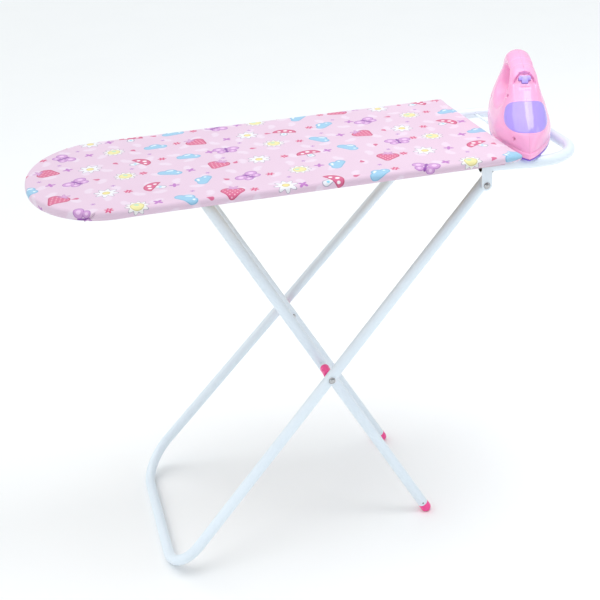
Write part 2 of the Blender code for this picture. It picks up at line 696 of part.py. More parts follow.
def ray_hole(s, h):
    a0 = math.atan2(h - HOLE_C[1], s - HOLE_C[0])
    best = min(range(72), key=lambda i: abs(math.remainder(
        math.atan2(HOLE_LINE[i][1] - HOLE_C[1], HOLE_LINE[i][0] - HOLE_C[0]) - a0, 2 * math.pi)))
    a = 2 * math.pi * best / 72
    lo, hi = a - 0.12, a + 0.12
    for _ in range(30):
        mid = (lo + hi) / 2
        q = hole_pt(mid)
        d = math.remainder(math.atan2(q[1] - HOLE_C[1], q[0] - HOLE_C[0]) - a0, 2 * math.pi)
        if d < 0:
            lo = mid
        else:
            hi = mid
    return hole_pt((lo + hi) / 2)


V_OUT = [0.0, 0.012, 0.045, 0.10, 0.18, 0.30, 0.46, 0.62, 0.76, 0.87, 0.945, 0.985, 1.0]
V_IN = [0.0, 0.04, 0.14, 0.32, 0.55, 0.78, 0.93, 1.0]
SEAM = 0.00015
WALL = 2.2


def iron_half(name, sgn):
    verts, faces = [], []
    n = len(side)
    rings = []

    def put(s, w, h):
        verts.append(iron(s / 1000, sgn * max(w / 1000, SEAM), h / 1000))
        return len(verts) - 1

    holes_ = [ray_hole(s, h) for s, h, _ in side]
    rings.append([put(s, 0, h) for s, h, _ in side])
    for v in V_OUT:
        ring = []
        for (s, h, flat), (hs, hh) in zip(side, holes_):
            a, b = s + (hs - s) * v, h + (hh - h) * v
            w = body_half(a, b)
            if v == 0.0 and not flat:
                w = 0.0
            if v == 0.0 and flat:
                w = body_half(a, 12.02)
            if v == 1.0:
                w = 0.0
            ring.append(put(a, w, b))
        rings.append(ring)
    # wall thickness along the section lines
    inner_rings = []
    for j, v in enumerate(V_IN):
        ring, low = [], []
        for (s, h, flat), (hs, hh) in zip(side, holes_):
            D = math.hypot(hs - s, hh - h)
            v0, v1 = WALL * 1.15 / D, 1 - WALL * 1.15 / D
            if flat:
                v0 = min(WALL / max((hh - 12.0) / 1.0, 1e-6), 0.4)
            t = v0 + (v1 - v0) * v
            a, b = s + (hs - s) * t, h + (hh - h) * t
            w = max(body_half(a, b) - WALL, 0.35)
            ring.append(put(a, w, b))
            if j in (0, len(V_IN) - 1):
                low.append(put(a, 0, b))
        if j == 0:
            inner_rings += [low, ring]
        elif j == len(V_IN) - 1:
            inner_rings += [ring, low]
        else:
            inner_rings.append(ring)
    loop = rings + inner_rings[::-1]
    m = len(loop)
    for k in range(m):
        a, b = loop[k], loop[(k + 1) % m]
        for i in range(n):
            j = (i + 1) % n
            faces.append((a[i], a[j], b[j], b[i]))
    return add(name, verts, faces, IRON_PINK, 0.25, weld=2e-5)


shell_r = iron_half("iron_shell_right", -1)
shell_l = iron_half("iron_shell_left", 1)


def plan_line(shrink, n=30):
    """Outline of the sole, drawn in by a distance, in millimetres."""
    L = IRON_L * 1000
    ss = [0.0, 0.8, 2.2, 4.5, 8, 12.5, 18, 25, 34, 45, 58, 73, 90, 108, 128, 148, 166, 181, 188, 193, 197, 200, 202.5, 204.2, 205]
    pts = []
    for s in ss:
        pts.append((s, plan_half(s)))
    pts = pts + [(s, -w) for s, w in pts[-2:0:-1]]
    m = len(pts)
    out = []
    for i in range(m):
        a, b = pts[i - 1], pts[(i + 1) % m]
        tx, ty = b[0] - a[0], b[1] - a[1]
        L2 = math.hypot(tx, ty)
        out.append((pts[i][0] + shrink * ty / L2 * -1 * -1, pts[i][1] - shrink * tx / L2))
    return out


def plate(name, levels, colour, rough):
    verts, faces = [], []
    n = None
    for shrink, h in levels:
        pl = plan_line(shrink)
        n = len(pl)
        verts += [iron(s / 1000, w / 1000, h / 1000) for s, w in pl]
    for k in range(len(levels) - 1):
        a, b = k * n, (k + 1) * n
        for i in range(n):
            j = (i + 1) % n
            faces.append((a + i, a + j, b + j, b + i))
    faces.append(tuple(range(n)))
    m = (len(levels) - 1) * n
    faces.append(tuple(m + i for i in range(n)))
    return add(name, verts, faces, colour, rough)


plate("iron_soleplate", [(2.4, 0.0), (1.5, 0.8), (1.2, 2.0), (1.2, 3.6)], VIOLET, 0.3)
plate("iron_skirt", [(1.6, 3.9), (0.9, 5.0), (0.6, 8.0), (0.9, 10.6), (1.6, 11.7)], IRON_PINK, 0.25)

# spray button under the hood, pressed square into the front
BTN_C = (81.6, 86.0)
BTN_N = Vector((-math.sin(math.radians(52)), 0, math.cos(math.radians(52))))     # outward, in (s, w, h)
BTN_T = Vector((BTN_N.z, 0, -BTN_N.x))                                          # up the front


def btn(a, w, d):
    """a: up the slope, w: to the side, d: outwards, all millimetres from the button's middle."""
    s = BTN_C[0] + BTN_T.x * a + BTN_N.x * d
    h = BTN_C[1] + BTN_T.z * a + BTN_N.z * d
    return iron(s / 1000, w / 1000, h / 1000)


def btn_prism(poly_levels):
    verts, faces = [], []
    n = len(poly_levels[0][0])
    for poly, d in poly_levels:
        verts += [btn(a, w, d) for a, w in poly]
    for k in range(len(poly_levels) - 1):
        for i in range(n):
            j = (i + 1) % n
            faces.append((k * n + i, k * n + j, (k + 1) * n + j, (k + 1) * n + i))
    faces.append(tuple(range(n)))
    m = (len(poly_levels) - 1) * n
    faces.append(tuple(m + i for i in range(n)))
    return verts, faces


def rounded_rect(ha, hw, r, grow=0.0, k=4):
    out = []
    for sa, sw, a0 in ((1, 1, 0), (-1, 1, 90), (-1, -1, 180), (1, -1, 270)):
        for i in range(k + 1):
            t = math.radians(a0 + 90.0 * i / k)
            out.append((sa * (ha - r) + (r + grow) * math.cos(t), sw * (hw - r) + (r + grow) * math.sin(t)))
    return out


BTN_POLY = rounded_rect(5.6, 8.0, 3.0)
c_btn = cutter("cut_button", *btn_prism([(rounded_rect(5.6, 8.0, 3.0, 0.4), 12.0), (rounded_rect(5.6, 8.0, 3.0, 0.4), -9.0)]))
boolean(shell_r, c_btn)
boolean(shell_l, c_btn)
button = add("steam_button", *btn_prism([(rounded_rect(5.6, 8.0, 3.0, -1.2), 3.6), (rounded_rect(5.6, 8.0, 3.0, -0.35), 3.1),
                                          (BTN_POLY, 2.0), (BTN_POLY, -5.0)]), LILAC, 0.3)
PRESS = (btn(0, 0, -1) - btn(0, 0, 0)).normalized()

# return spring behind the button, and the plate that it stands on
coil = []
for i in range(5 * 8 + 1):
    a = 2 * math.pi * i / 8
    coil.append(btn(3.2 * math.cos(a), 3.2 * math.sin(a), -5.9 - 8.0 * i / 40))
add("button_spring", *tube(coil, 0.00035, None, 5), STEEL, 0.3, 1.0)
seat = rounded_rect(5.0, 5.0, 1.5, 0, 3)
add("spring_seat", *btn_prism([(seat, -14.7), (seat, -16.2)]), IRON_PINK, 0.4)

# clear window on the front: a thin curved panel that lies on both shells


def front_s(h, w):
    """Depth behind the front curve at which the shell is w wide, at height h."""
    f = smooth_table(FRONT, h)
    lo, hi = 0.0, 86.0 - f
    for _ in range(40):
        mid = (lo + hi) / 2
        if body_half(f + mid, h) < w:
            lo = mid
        else:
            hi = mid
    return f + (lo + hi) / 2


def front_pt(h, w, lift):
    s = front_s(h, abs(w))
    e = 0.5
    w1, w0 = abs(w) + e, max(abs(w) - e, 0.05)
    dsw = (front_s(h, w1) - front_s(h, w0)) / (w1 - w0)
    if w < 0:
        dsw = -dsw
    if abs(w) < 0.3:
        dsw = 0.0
    dsh = (front_s(h + e, abs(w)) - front_s(h - e, abs(w))) / (2 * e)
    n = Vector((-1.0, dsw, dsh)).normalized()
    return iron((s + n.x * lift) / 1000, (w + n.y * lift) / 1000, (h + n.z * lift) / 1000)


WIN_H, WIN_C, WIN_W = 16.6, 48.6, 27.0
verts, faces = [], []
NU, NR = 32, 7
centre_out = len(verts)
verts.append(front_pt(WIN_C, 0.0, 1.25))
centre_in = len(verts)
verts.append(front_pt(WIN_C, 0.0, 0.5))
rings_o, rings_i = [], []
for k in range(1, NR + 1):
    ro, rin = [], []
    for i in range(NU):
        t = 2 * math.pi * i / NU
        c, s_ = math.cos(t), math.sin(t)
        q = (abs(c) ** 3.0 + abs(s_) ** 3.0) ** (-1 / 3.0)
        hh = WIN_C + WIN_H * q * s_ * k / NR
        ww = (WIN_W - 0.20 * (hh - WIN_C)) * q * c * k / NR
        ro.append(len(verts))
        verts.append(front_pt(hh, ww, 1.25 if k < NR else 0.9))
        rin.append(len(verts))
        verts.append(front_pt(hh, ww, 0.5))
    rings_o.append(ro)
    rings_i.append(rin)
for i in range(NU):
    j = (i + 1) % NU
    faces.append((centre_out, rings_o[0][i], rings_o[0][j]))
    faces.append((centre_in, rings_i[0][i], rings_i[0][j]))
    for k in range(NR - 1):
        faces.append((rings_o[k][i], rings_o[k][j], rings_o[k + 1][j], rings_o[k + 1][i]))
        faces.append((rings_i[k][i], rings_i[k][j], rings_i[k + 1][j], rings_i[k + 1][i]))
    faces.append((rings_o[-1][i], rings_o[-1][j], rings_i[-1][j], rings_i[-1][i]))
add("water_window", verts, faces, LILAC, 0.12)

# shell screws, from the right-hand half into the left
SHELL_SCREWS = (("front", 25.0, 24.0), ("middle", 80.0, 65.5), ("rear", 176.0, 40.0))
cut_r, cut_l = [], []
for tag, s, h in SHELL_SCREWS:
    w = body_half(s, h)
    head = w - 3.4
    out = (iron(s / 1000, -1.0, h / 1000) - iron(s / 1000, 0.0, h / 1000)).normalized()
    prof = [(-0.0060, 0), (-0.0060, 0.0011), (head / 1000 + 0.0003, 0.0011), (head / 1000 + 0.0003, 0.0024),
            (head / 1000 + 0.0011, 0.0024), (head / 1000 + 0.0017, 0.0016), (head / 1000 + 0.0017, 0)]
    add("shell_screw_" + tag, *turned(prof, iron(s / 1000, 0, h / 1000), out, 12), STEEL, 0.35, 1.0)
    far = (w + 6) / 1000
    cut_r.append(turned([(0, 0), (0, 0.0028), (far - head / 1000, 0.0028), (far - head / 1000, 0.0014),
                         (far + 0.0005, 0.0014), (far + 0.0005, 0)], iron(s / 1000, -far, h / 1000), -out, 14))
    cut_l.append(rod(iron(s / 1000, -0.0005, h / 1000), iron(s / 1000, 0.0066, h / 1000), 0.0014, 12))


def bosses(sgn):
    out = []
    for tag, s, h in SHELL_SCREWS:
        w = min(body_half(s + 4.2 * math.cos(t * math.pi / 6), h + 4.2 * math.sin(t * math.pi / 6)) for t in range(12))
        out.append(rod(iron(s / 1000, sgn * SEAM, h / 1000), iron(s / 1000, sgn * (w - 0.7) / 1000, h / 1000), 0.0042, 14))
    return merge(*out)


b_r = cutter("boss_right", *bosses(-1))
b_l = cutter("boss_left", *bosses(1))
boolean(shell_r, b_r, 'UNION')
boolean(shell_r, cutter("cut_screws_right", *merge(*cut_r)))
boolean(shell_l, b_l, 'UNION')
boolean(shell_l, cutter("cut_screws_left", *merge(*cut_l)))

# ------------------------------------------------------------------ origin in the middle, pivots on the axes
MIDDLE_X = -0.0013          # middle of the whole object in the frame used above
for ob in bpy.data.objects:
    ob.data.transform(Matrix.Translation((-MIDDLE_X, 0, 0)))


def pivot_at(names, point):
    p = Vector(point) - Vector((MIDDLE_X, 0, 0))
    for n in names:
        ob = bpy.data.objects[n]
        ob.data.transform(Matrix.Translation(-p))
        ob.location = p


pivot_at(["outer_leg_tube", "cut_outer_leg", "cross_rivet_near", "cross_rivet_far", "leg_end_plug_near",
          "leg_end_plug_far"], P)
pivot_at(["inner_leg_tube", "cut_inner_leg", "foot_cap_near", "foot_cap_far", "cut_cap_near", "cut_cap_far",
          "cap_pin_near", "cap_pin_far", "cross_spacer_near", "cross_spacer_far", "cross_washer_near",
          "cross_washer_far"], CROSS)
pivot_at(["iron_shell_left", "iron_shell_right", "iron_skirt", "iron_soleplate", "water_window", "spring_seat",
          "shell_screw_front", "shell_screw_middle", "shell_screw_rear", "cut_button", "boss_right", "boss_left",
          "cut_screws_right", "cut_screws_left"], iron(0.1, 0, 0))
pivot_at(["steam_button", "button_spring"], btn(0, 0, 0))
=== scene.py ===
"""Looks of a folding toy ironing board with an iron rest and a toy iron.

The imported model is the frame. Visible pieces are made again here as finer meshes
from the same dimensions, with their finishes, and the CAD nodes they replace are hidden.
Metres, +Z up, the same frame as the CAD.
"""

import math

import bmesh
import bpy
import numpy as np
from mathutils import Matrix, Vector, noise


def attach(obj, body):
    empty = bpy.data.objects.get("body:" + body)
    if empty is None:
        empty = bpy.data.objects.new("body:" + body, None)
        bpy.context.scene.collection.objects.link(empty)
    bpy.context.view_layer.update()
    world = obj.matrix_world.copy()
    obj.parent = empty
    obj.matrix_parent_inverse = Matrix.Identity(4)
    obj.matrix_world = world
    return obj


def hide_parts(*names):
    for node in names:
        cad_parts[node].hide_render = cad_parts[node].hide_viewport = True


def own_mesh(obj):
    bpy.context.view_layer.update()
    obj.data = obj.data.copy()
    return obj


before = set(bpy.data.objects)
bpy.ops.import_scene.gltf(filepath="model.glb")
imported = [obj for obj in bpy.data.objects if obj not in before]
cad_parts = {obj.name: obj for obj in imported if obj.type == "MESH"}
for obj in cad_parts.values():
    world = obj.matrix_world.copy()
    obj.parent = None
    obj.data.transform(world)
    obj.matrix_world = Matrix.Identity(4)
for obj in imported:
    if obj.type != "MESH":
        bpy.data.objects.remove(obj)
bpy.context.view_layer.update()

# ------------------------------------------------------------------ dimensions, as in the construction
SHIFT = 0.0013
BOARD_TOP, BOARD_X0, BOARD_X1, BOARD_HALF = 0.5550, -0.3667, 0.2529, 0.1430
NOSE_LEN, CORNER_R = 0.1055, 0.0040
COVER_T, PAD_T, DECK_Z0, DECK_Z1 = 0.0008, 0.0030, 0.5436, 0.5506
PAD_Z0, HEM_IN = DECK_Z1 + 0.0003, 0.0135
TUBE_R, BORE_R = 0.0075, 0.0063
PIVOT_X, PIVOT_Z = 0.2178, 0.5100
LEG_A_TOP, LEG_A_FOOT, FOOT_A_X, FOOT_BEND, CROSS_T = 0.1071, 0.1467, -0.2493, 0.055, 0.4823
FOOT_B_X, LEG_B_FOOT, LEG_B_TOP, BAR_Z, CAP_LEN = 0.1413, 0.1032, 0.0593, 0.5250, 0.015
REST_Z, REST_Y, REST_Y2, REST_X0, REST_X1, REST_BEND = 0.5335, 0.1104, 0.1188, 0.2116, 0.3567, 0.058
WIRE_R, WIRE_X = 0.0015, (0.2665, 0.2990)
GAP, RIVET_R, HOLE_R = 0.0003, 0.0025, 0.0028
IRON_TIP, IRON_TURN, IRON_L = (0.2692, -0.1369), math.radians(18.3), 0.205
IRON_Z = REST_Z + TUBE_R + GAP
TUBE_SCREW_X = 0.2276
WEB_IN, BR_T, FLANGE_END = 0.1181, 0.0015, 0.0780
FLANGE_Z = DECK_Z0 - GAP - BR_T

scene = bpy.context.scene
col = scene.collection

# ------------------------------------------------------------------ camera, at the photograph's angle


def camera(place, yaw, pitch, roll, lens):
    cy, sy, cp, sp = math.cos(yaw), math.sin(yaw), math.cos(pitch), math.sin(pitch)
    f = Vector((-sy * cp, cy * cp, -sp))
    r = Vector((cy, sy, 0))
    u = r.cross(f)
    cr, sr = math.cos(roll), math.sin(roll)
    right, up = cr * r + sr * u, -sr * r + cr * u
    m = Matrix((right, up, -f)).transposed().to_4x4()
    m.translation = Vector(place)
    cam = bpy.data.objects.new("photo_camera", bpy.data.cameras.new("photo_camera"))
    cam.data.lens, cam.data.sensor_width = lens, 36.0
    cam.data.clip_start, cam.data.clip_end = 0.05, 60.0
    cam.matrix_world = m
    col.objects.link(cam)
    scene.camera = cam
    return cam


camera((-0.36007 + SHIFT, -1.42568, 1.03341), -0.2385, 0.4475, -0.0541, 68.36)

# ------------------------------------------------------------------ node helpers


def srgb(r, g, b):
    out = []
    for c in (r, g, b):
        c /= 255.0
        out.append(c / 12.92 if c <= 0.04045 else ((c + 0.055) / 1.055) ** 2.4)
    return (*out, 1.0)


class Nodes:
    """Short hand for one material's nodes."""

    def __init__(self, name):
        self.mat = bpy.data.materials.new(name)
        self.mat.use_nodes = True
        self.nt = self.mat.node_tree
        self.bsdf = self.nt.nodes["Principled BSDF"]

    def add(self, kind, ins=None, **props):
        n = self.nt.nodes.new(kind)
        for k, v in props.items():
            setattr(n, k, v)
        for k, v in (ins or {}).items():
            self.put(n.inputs[k], v)
        return n

    def put(self, socket, v):
        if isinstance(v, bpy.types.NodeSocket):
            self.nt.links.new(v, socket)
        elif v is not None:
            socket.default_value = v

    def m(self, op, a, b=None, c=None, clamp=False):
        n = self.nt.nodes.new("ShaderNodeMath")
        n.operation = op
        n.use_clamp = clamp
        for i, v in enumerate((a, b, c)):
            if v is not None:
                self.put(n.inputs[i], v)
        return n.outputs[0]

    def v(self, op, a, b=None, scale=None):
        n = self.nt.nodes.new("ShaderNodeVectorMath")
        n.operation = op
        self.put(n.inputs[0], a)
        if b is not None:
            self.put(n.inputs[1], b)
        if scale is not None:
            self.put(n.inputs["Scale"], scale)
        return n.outputs["Value"] if op in ("LENGTH", "DISTANCE", "DOT_PRODUCT") else n.outputs["Vector"]

    def xyz(self, x, y, z=0.0):
        return self.add("ShaderNodeCombineXYZ", {"X": x, "Y": y, "Z": z}).outputs[0]

    def split(self, v):
        n = self.add("ShaderNodeSeparateXYZ", {"Vector": v})
        return n.outputs[0], n.outputs[1], n.outputs[2]

    def mix(self, fac, a, b):
        n = self.nt.nodes.new("ShaderNodeMix")
        n.data_type = "RGBA"
        self.put(n.inputs[0], fac)
        self.put(n.inputs[6], a)
        self.put(n.inputs[7], b)
        return n.outputs[2]

    def obj(self):
        return self.add("ShaderNodeTexCoord").outputs["Object"]

    def uv(self, name):
        return self.add("ShaderNodeUVMap", uv_map=name).outputs[0]

    def noise(self, vec, scale, detail=3.0, rough=0.5):
        return self.add("ShaderNodeTexNoise", {"Vector": vec, "Scale": scale, "Detail": detail, "Roughness": rough}).outputs["Fac"]

    def ramp(self, fac, lo, hi, a, b):
        """Linear map of fac from lo..hi to a..b, clamped."""
        n = self.add("ShaderNodeMapRange", {0: fac, 1: lo, 2: hi, 3: a, 4: b})
        n.clamp = True
        return n.outputs[0]

    def bump(self, height, strength, distance, normal=None):
        n = self.add("ShaderNodeBump", {"Height": height, "Strength": strength, "Distance": distance})
        if normal is not None:
            self.put(n.inputs["Normal"], normal)
        return n.outputs[0]

    def set(self, **kw):
        for k, v in kw.items():
            self.put(self.bsdf.inputs[k.replace("_", " ")], v)
        return self.mat


def plastic(name, dark, light, rough=0.25, coat=0.0, grain=700.0, grain_h=0.00004, sss=0.0, spec=0.5):
    """Moulded plastic: slow colour drift, a fine moulded grain and uneven gloss."""
    k = Nodes(name)
    p = k.obj()
    drift = k.noise(p, 14.0, 3.0)
    k.set(Base_Color=k.mix(k.ramp(drift, 0.3, 0.7, 0.0, 1.0), dark, light),
          Roughness=k.ramp(k.noise(p, 60.0, 4.0), 0.3, 0.7, rough * 0.82, rough * 1.2),
          Normal=k.bump(k.noise(p, grain, 2.0), 0.22, grain_h, k.bump(k.noise(p, 22.0, 2.0), 0.10, 0.0005)))
    k.bsdf.inputs["Coat Weight"].default_value = coat
    k.bsdf.inputs["Coat Roughness"].default_value = 0.06
    k.bsdf.inputs["Specular IOR Level"].default_value = spec
    if sss:
        k.bsdf.inputs["Subsurface Weight"].default_value = sss
        k.bsdf.inputs["Subsurface Radius"].default_value = (1.0, 0.45, 0.7)
        k.bsdf.inputs["Subsurface Scale"].default_value = 0.004
    return k.mat


def powder_coat():
    """White powder coat: orange peel, slight blue cast, faint handling marks."""
    k = Nodes("white_powder_coat")
    p = k.obj()
    peel = k.noise(p, 520.0, 2.0, 0.6)
    slow = k.noise(p, 9.0, 3.0)
    specks = k.ramp(k.noise(p, 260.0, 5.0, 0.7), 0.76, 0.79, 0.0, 0.3)
    base = k.mix(k.ramp(slow, 0.3, 0.7, 0.0, 1.0), srgb(226, 236, 245), srgb(231, 241, 249))
    k.set(Base_Color=k.mix(specks, base, srgb(196, 205, 216)),
          Roughness=k.ramp(k.noise(p, 30.0, 2.0), 0.3, 0.7, 0.30, 0.36),
          Normal=k.bump(peel, 0.12, 0.00005))
    k.bsdf.inputs["Coat Weight"].default_value = 0.2
    k.bsdf.inputs["Coat Roughness"].default_value = 0.15
    return k.mat


def steel(name, tone, rough):
    """Plated steel: brushed round the axis, duller in patches."""
    k = Nodes(name)
    p = k.obj()
    streak = k.noise(k.v("MULTIPLY", p, (300.0, 3000.0, 900.0)), 1.0, 3.0)
    patch = k.noise(p, 420.0, 3.0)
    k.set(Base_Color=k.mix(k.ramp(patch, 0.35, 0.7, 0.0, 1.0), tone, tuple(c * 0.72 for c in tone[:3]) + (1.0,)),
          Roughness=k.ramp(patch, 0.3, 0.7, rough, rough + 0.18),
          Normal=k.bump(streak, 0.20, 0.00003))
    k.bsdf.inputs["Metallic"].default_value = 1.0
    return k.mat


def pressed_board():
    """Pressed fibre board: short fibres in all directions, darker specks."""
    k = Nodes("pressed_board")
    p = k.obj()
    f1 = k.noise(k.v("MULTIPLY", p, (900.0, 160.0, 400.0)), 1.0, 4.0, 0.6)
    f2 = k.noise(k.v("MULTIPLY", p, (170.0, 850.0, 400.0)), 1.0, 4.0, 0.6)
    f = k.m("MAXIMUM", f1, f2)
    c = k.mix(k.ramp(f, 0.42, 0.72, 0.0, 1.0), srgb(150, 118, 82), srgb(206, 172, 128))
    c = k.mix(k.ramp(k.noise(p, 600.0, 3.0), 0.62, 0.70, 0.0, 0.5), c, srgb(96, 70, 46))
    k.set(Base_Color=c, Roughness=k.ramp(f, 0.3, 0.7, 0.88, 0.72), Normal=k.bump(f, 0.35, 0.0002))
    return k.mat


def foam():
    """Open foam: small round cells, each painted darker towards its hollow middle as shade."""
    k = Nodes("foam")
    p = k.obj()
    cell = k.add("ShaderNodeTexVoronoi", {"Vector": p, "Scale": 750.0}).outputs["Distance"]
    # darker towards each cell's middle, where the bump dips: painted shade in the foam's pores
    k.set(Base_Color=k.mix(k.ramp(cell, 0.1, 0.7, 0.0, 1.0), srgb(214, 208, 190), srgb(247, 244, 232)),
          Roughness=k.ramp(k.noise(p, 80.0), 0.3, 0.7, 0.9, 1.0), Normal=k.bump(cell, 0.5, 0.0006))
    return k.mat


def drawcord():
    k = Nodes("drawcord")
    p = k.obj()
    n = k.noise(p, 1600.0, 4.0)
    k.set(Base_Color=k.mix(n, srgb(210, 205, 212), srgb(248, 245, 248)), Roughness=k.ramp(n, 0.3, 0.7, 0.8, 0.95),
          Normal=k.bump(n, 0.4, 0.0002))
    return k.mat


# ------------------------------------------------------------------ printed cotton


def printed_cotton():
    """Pale pink cotton with a generic scattered print, drawn by distance from each shape's outline.

    UV is the cloth's own flat sheet in metres, so the print runs on over the edges."""
    k = Nodes("printed_cotton")
    uv = k.v("SCALE", k.uv("flat"), scale=1000.0)
    wob = k.add("ShaderNodeTexNoise", {"Vector": uv, "Scale": 0.35, "Detail": 1.0}).outputs["Color"]
    uvw = k.v("ADD", uv, k.v("SCALE", k.v("SUBTRACT", wob, (0.5, 0.5, 0.5)), scale=0.5))
    x, y, _ = k.split(uvw)

    def lattice(cx, cy, ox, oy, jx, jy, turn, seed, size=1.0):
        """Cell coordinates, number and random turn of the nearest place of a staggered lattice."""
        row = k.m("FLOOR", k.m("DIVIDE", k.m("ADD", y, oy), cy))
        shifted = k.m("ADD", k.m("ADD", x, ox), k.m("MULTIPLY", row, cx * 0.5))
        colm = k.m("FLOOR", k.m("DIVIDE", shifted, cx))
        wn = k.add("ShaderNodeTexWhiteNoise", {"Vector": k.xyz(colm, row, seed)}, noise_dimensions="3D")
        r1, r2, r3 = k.split(wn.outputs["Color"])
        lx = k.m("SUBTRACT", k.m("SUBTRACT", shifted, k.m("MULTIPLY", k.m("ADD", colm, 0.5), cx)),
                 k.m("MULTIPLY", k.m("SUBTRACT", r1, 0.5), jx))
        ly = k.m("SUBTRACT", k.m("SUBTRACT", k.m("ADD", y, oy), k.m("MULTIPLY", k.m("ADD", row, 0.5), cy)),
                 k.m("MULTIPLY", k.m("SUBTRACT", r2, 0.5), jy))
        a = k.m("MULTIPLY", k.m("SUBTRACT", r3, 0.5), turn)
        c, s = k.m("COSINE", a), k.m("SINE", a)
        c, s = k.m("DIVIDE", c, size), k.m("DIVIDE", s, size)
        px = k.m("ADD", k.m("MULTIPLY", lx, c), k.m("MULTIPLY", ly, s))
        py = k.m("SUBTRACT", k.m("MULTIPLY", ly, c), k.m("MULTIPLY", lx, s))
        return px, py, colm, row, r1

    def ink(d, soft=0.35):
        """1 inside a shape, where the distance d is below 0."""
        return k.ramp(d, -soft, soft, 1.0, 0.0)

    def circle(px, py, cx, cy, r, sx=1.0, sy=1.0):
        return k.m("SUBTRACT", k.v("LENGTH", k.xyz(k.m("DIVIDE", k.m("SUBTRACT", px, cx), sx),
                                                  k.m("DIVIDE", k.m("SUBTRACT", py, cy), sy))), r)

    def capsule(px, py, x0, y0, x1, y1, r0, r1=None):
        dx, dy = x1 - x0, y1 - y0
        t = k.m("DIVIDE", k.m("ADD", k.m("MULTIPLY", k.m("SUBTRACT", px, x0), dx),
                              k.m("MULTIPLY", k.m("SUBTRACT", py, y0), dy)), dx * dx + dy * dy, clamp=True)
        qx = k.m("SUBTRACT", px, k.m("ADD", k.m("MULTIPLY", t, dx), x0))
        qy = k.m("SUBTRACT", py, k.m("ADD", k.m("MULTIPLY", t, dy), y0))
        r = k.m("ADD", k.m("MULTIPLY", t, (r1 if r1 is not None else r0) - r0), r0)
        return k.m("SUBTRACT", k.v("LENGTH", k.xyz(qx, qy)), r)

    def petals(px, py, r, amp, n, phase=0.0):
        a = k.m("ARCTAN2", py, px)
        wave = k.m("MULTIPLY", k.m("COSINE", k.m("ADD", k.m("MULTIPLY", a, float(n)), phase)), amp)
        return k.m("SUBTRACT", k.m("SUBTRACT", k.v("LENGTH", k.xyz(px, py)), r), wave)

    def union(*ds):
        d = ds[0]
        for e in ds[1:]:
            d = k.m("MINIMUM", d, e)
        return d

    def lay(base, d, fill, line=None, width=0.55, where=None):
        """Lays a filled shape with an outline over the colour so far."""
        def gate(f):
            return k.m("MULTIPLY", f, where) if where is not None else f
        out = k.mix(gate(ink(d)), base, fill)
        if line is not None:
            out = k.mix(gate(ink(k.m("SUBTRACT", k.m("ABSOLUTE", k.m("ADD", d, width * 0.5)), width * 0.5))), out, line)
        return out

    def is_kind(kind, i):
        return k.m("COMPARE", kind, float(i), 0.4)

    drift = k.noise(uv, 0.012, 3.0)
    c = k.mix(k.ramp(drift, 0.3, 0.7, 0.0, 1.0), srgb(232, 203, 223), srgb(235, 208, 227))

    # faint pale shapes behind
    gx, gy, gc, gr, _ = lattice(37.0, 33.0, 17.0, 11.0, 14.0, 12.0, 5.0, 5.0, 1.25)
    g = union(circle(gx, gy, -3.2, 0.0, 4.0, 1.0, 0.8), circle(gx, gy, 3.0, 1.2, 4.6, 1.0, 0.8), circle(gx, gy, 0.0, -1.8, 3.4, 1.4, 0.7))
    c = k.mix(k.m("MULTIPLY", ink(g, 1.2), 0.42), c, srgb(248, 238, 250))

    # small shapes between the large ones
    sx, sy, sc, sr, s1 = lattice(61.0, 54.0, 30.5, 0.0, 10.0, 15.0, 6.2, 2.0, 1.1)
    kind_s = k.m("FLOORED_MODULO", k.m("ADD", sc, k.m("MULTIPLY", sr, 2.0)), 3.0)
    c = lay(c, petals(sx, sy, 4.2, 1.3, 6), srgb(220, 92, 136), where=is_kind(kind_s, 0))
    c = lay(c, circle(sx, sy, 0, 0, 1.0), srgb(255, 205, 222), where=is_kind(kind_s, 0))
    tri = petals(sx, sy, 4.4, 1.9, 4)
    c = lay(c, tri, srgb(196, 126, 200), where=is_kind(kind_s, 1))
    drop = capsule(sx, sy, 0.0, -1.6, 0.0, 3.8, 3.0, 0.5)
    c = lay(c, drop, srgb(218, 110, 150), where=is_kind(kind_s, 2))
    tx, ty, tc, tr, _ = lattice(61.0, 54.0, 15.25, 27.0, 8.0, 7.0, 6.2, 3.0, 1.25)
    c = lay(c, petals(tx, ty, 1.9, 0.9, 6), srgb(196, 142, 206), where=k.m("COMPARE", k.m("FLOORED_MODULO", k.m("ADD", tc, tr), 2.0), 0.0, 0.4))

    # large shapes
    px, py, lc, lr, l1 = lattice(61.0, 54.0, 0.0, 0.0, 13.0, 11.0, 2.4, 1.0, 1.34)
    kind = k.m("FLOORED_MODULO", k.m("ADD", lc, k.m("MULTIPLY", lr, 3.0)), 7.0)

    # blue cloud (twice as frequent)
    blue = k.m("ADD", is_kind(kind, 0), is_kind(kind, 4))
    cloud = union(circle(px, py, -7.0, -0.5, 5.0), circle(px, py, 0.0, 2.4, 6.6), circle(px, py, 7.2, -0.2, 4.8),
                  capsule(px, py, -7.0, -2.2, 7.4, -2.2, 3.3))
    c = lay(c, cloud, srgb(160, 206, 234), srgb(122, 182, 216), 0.8, blue)
    c = lay(c, capsule(px, py, -3.4, 4.2, 0.6, 6.1, 0.9, 1.4), srgb(240, 250, 255), where=blue)
    c = lay(c, circle(px, py, 7.6, 1.2, 1.3), srgb(240, 250, 255), where=blue)

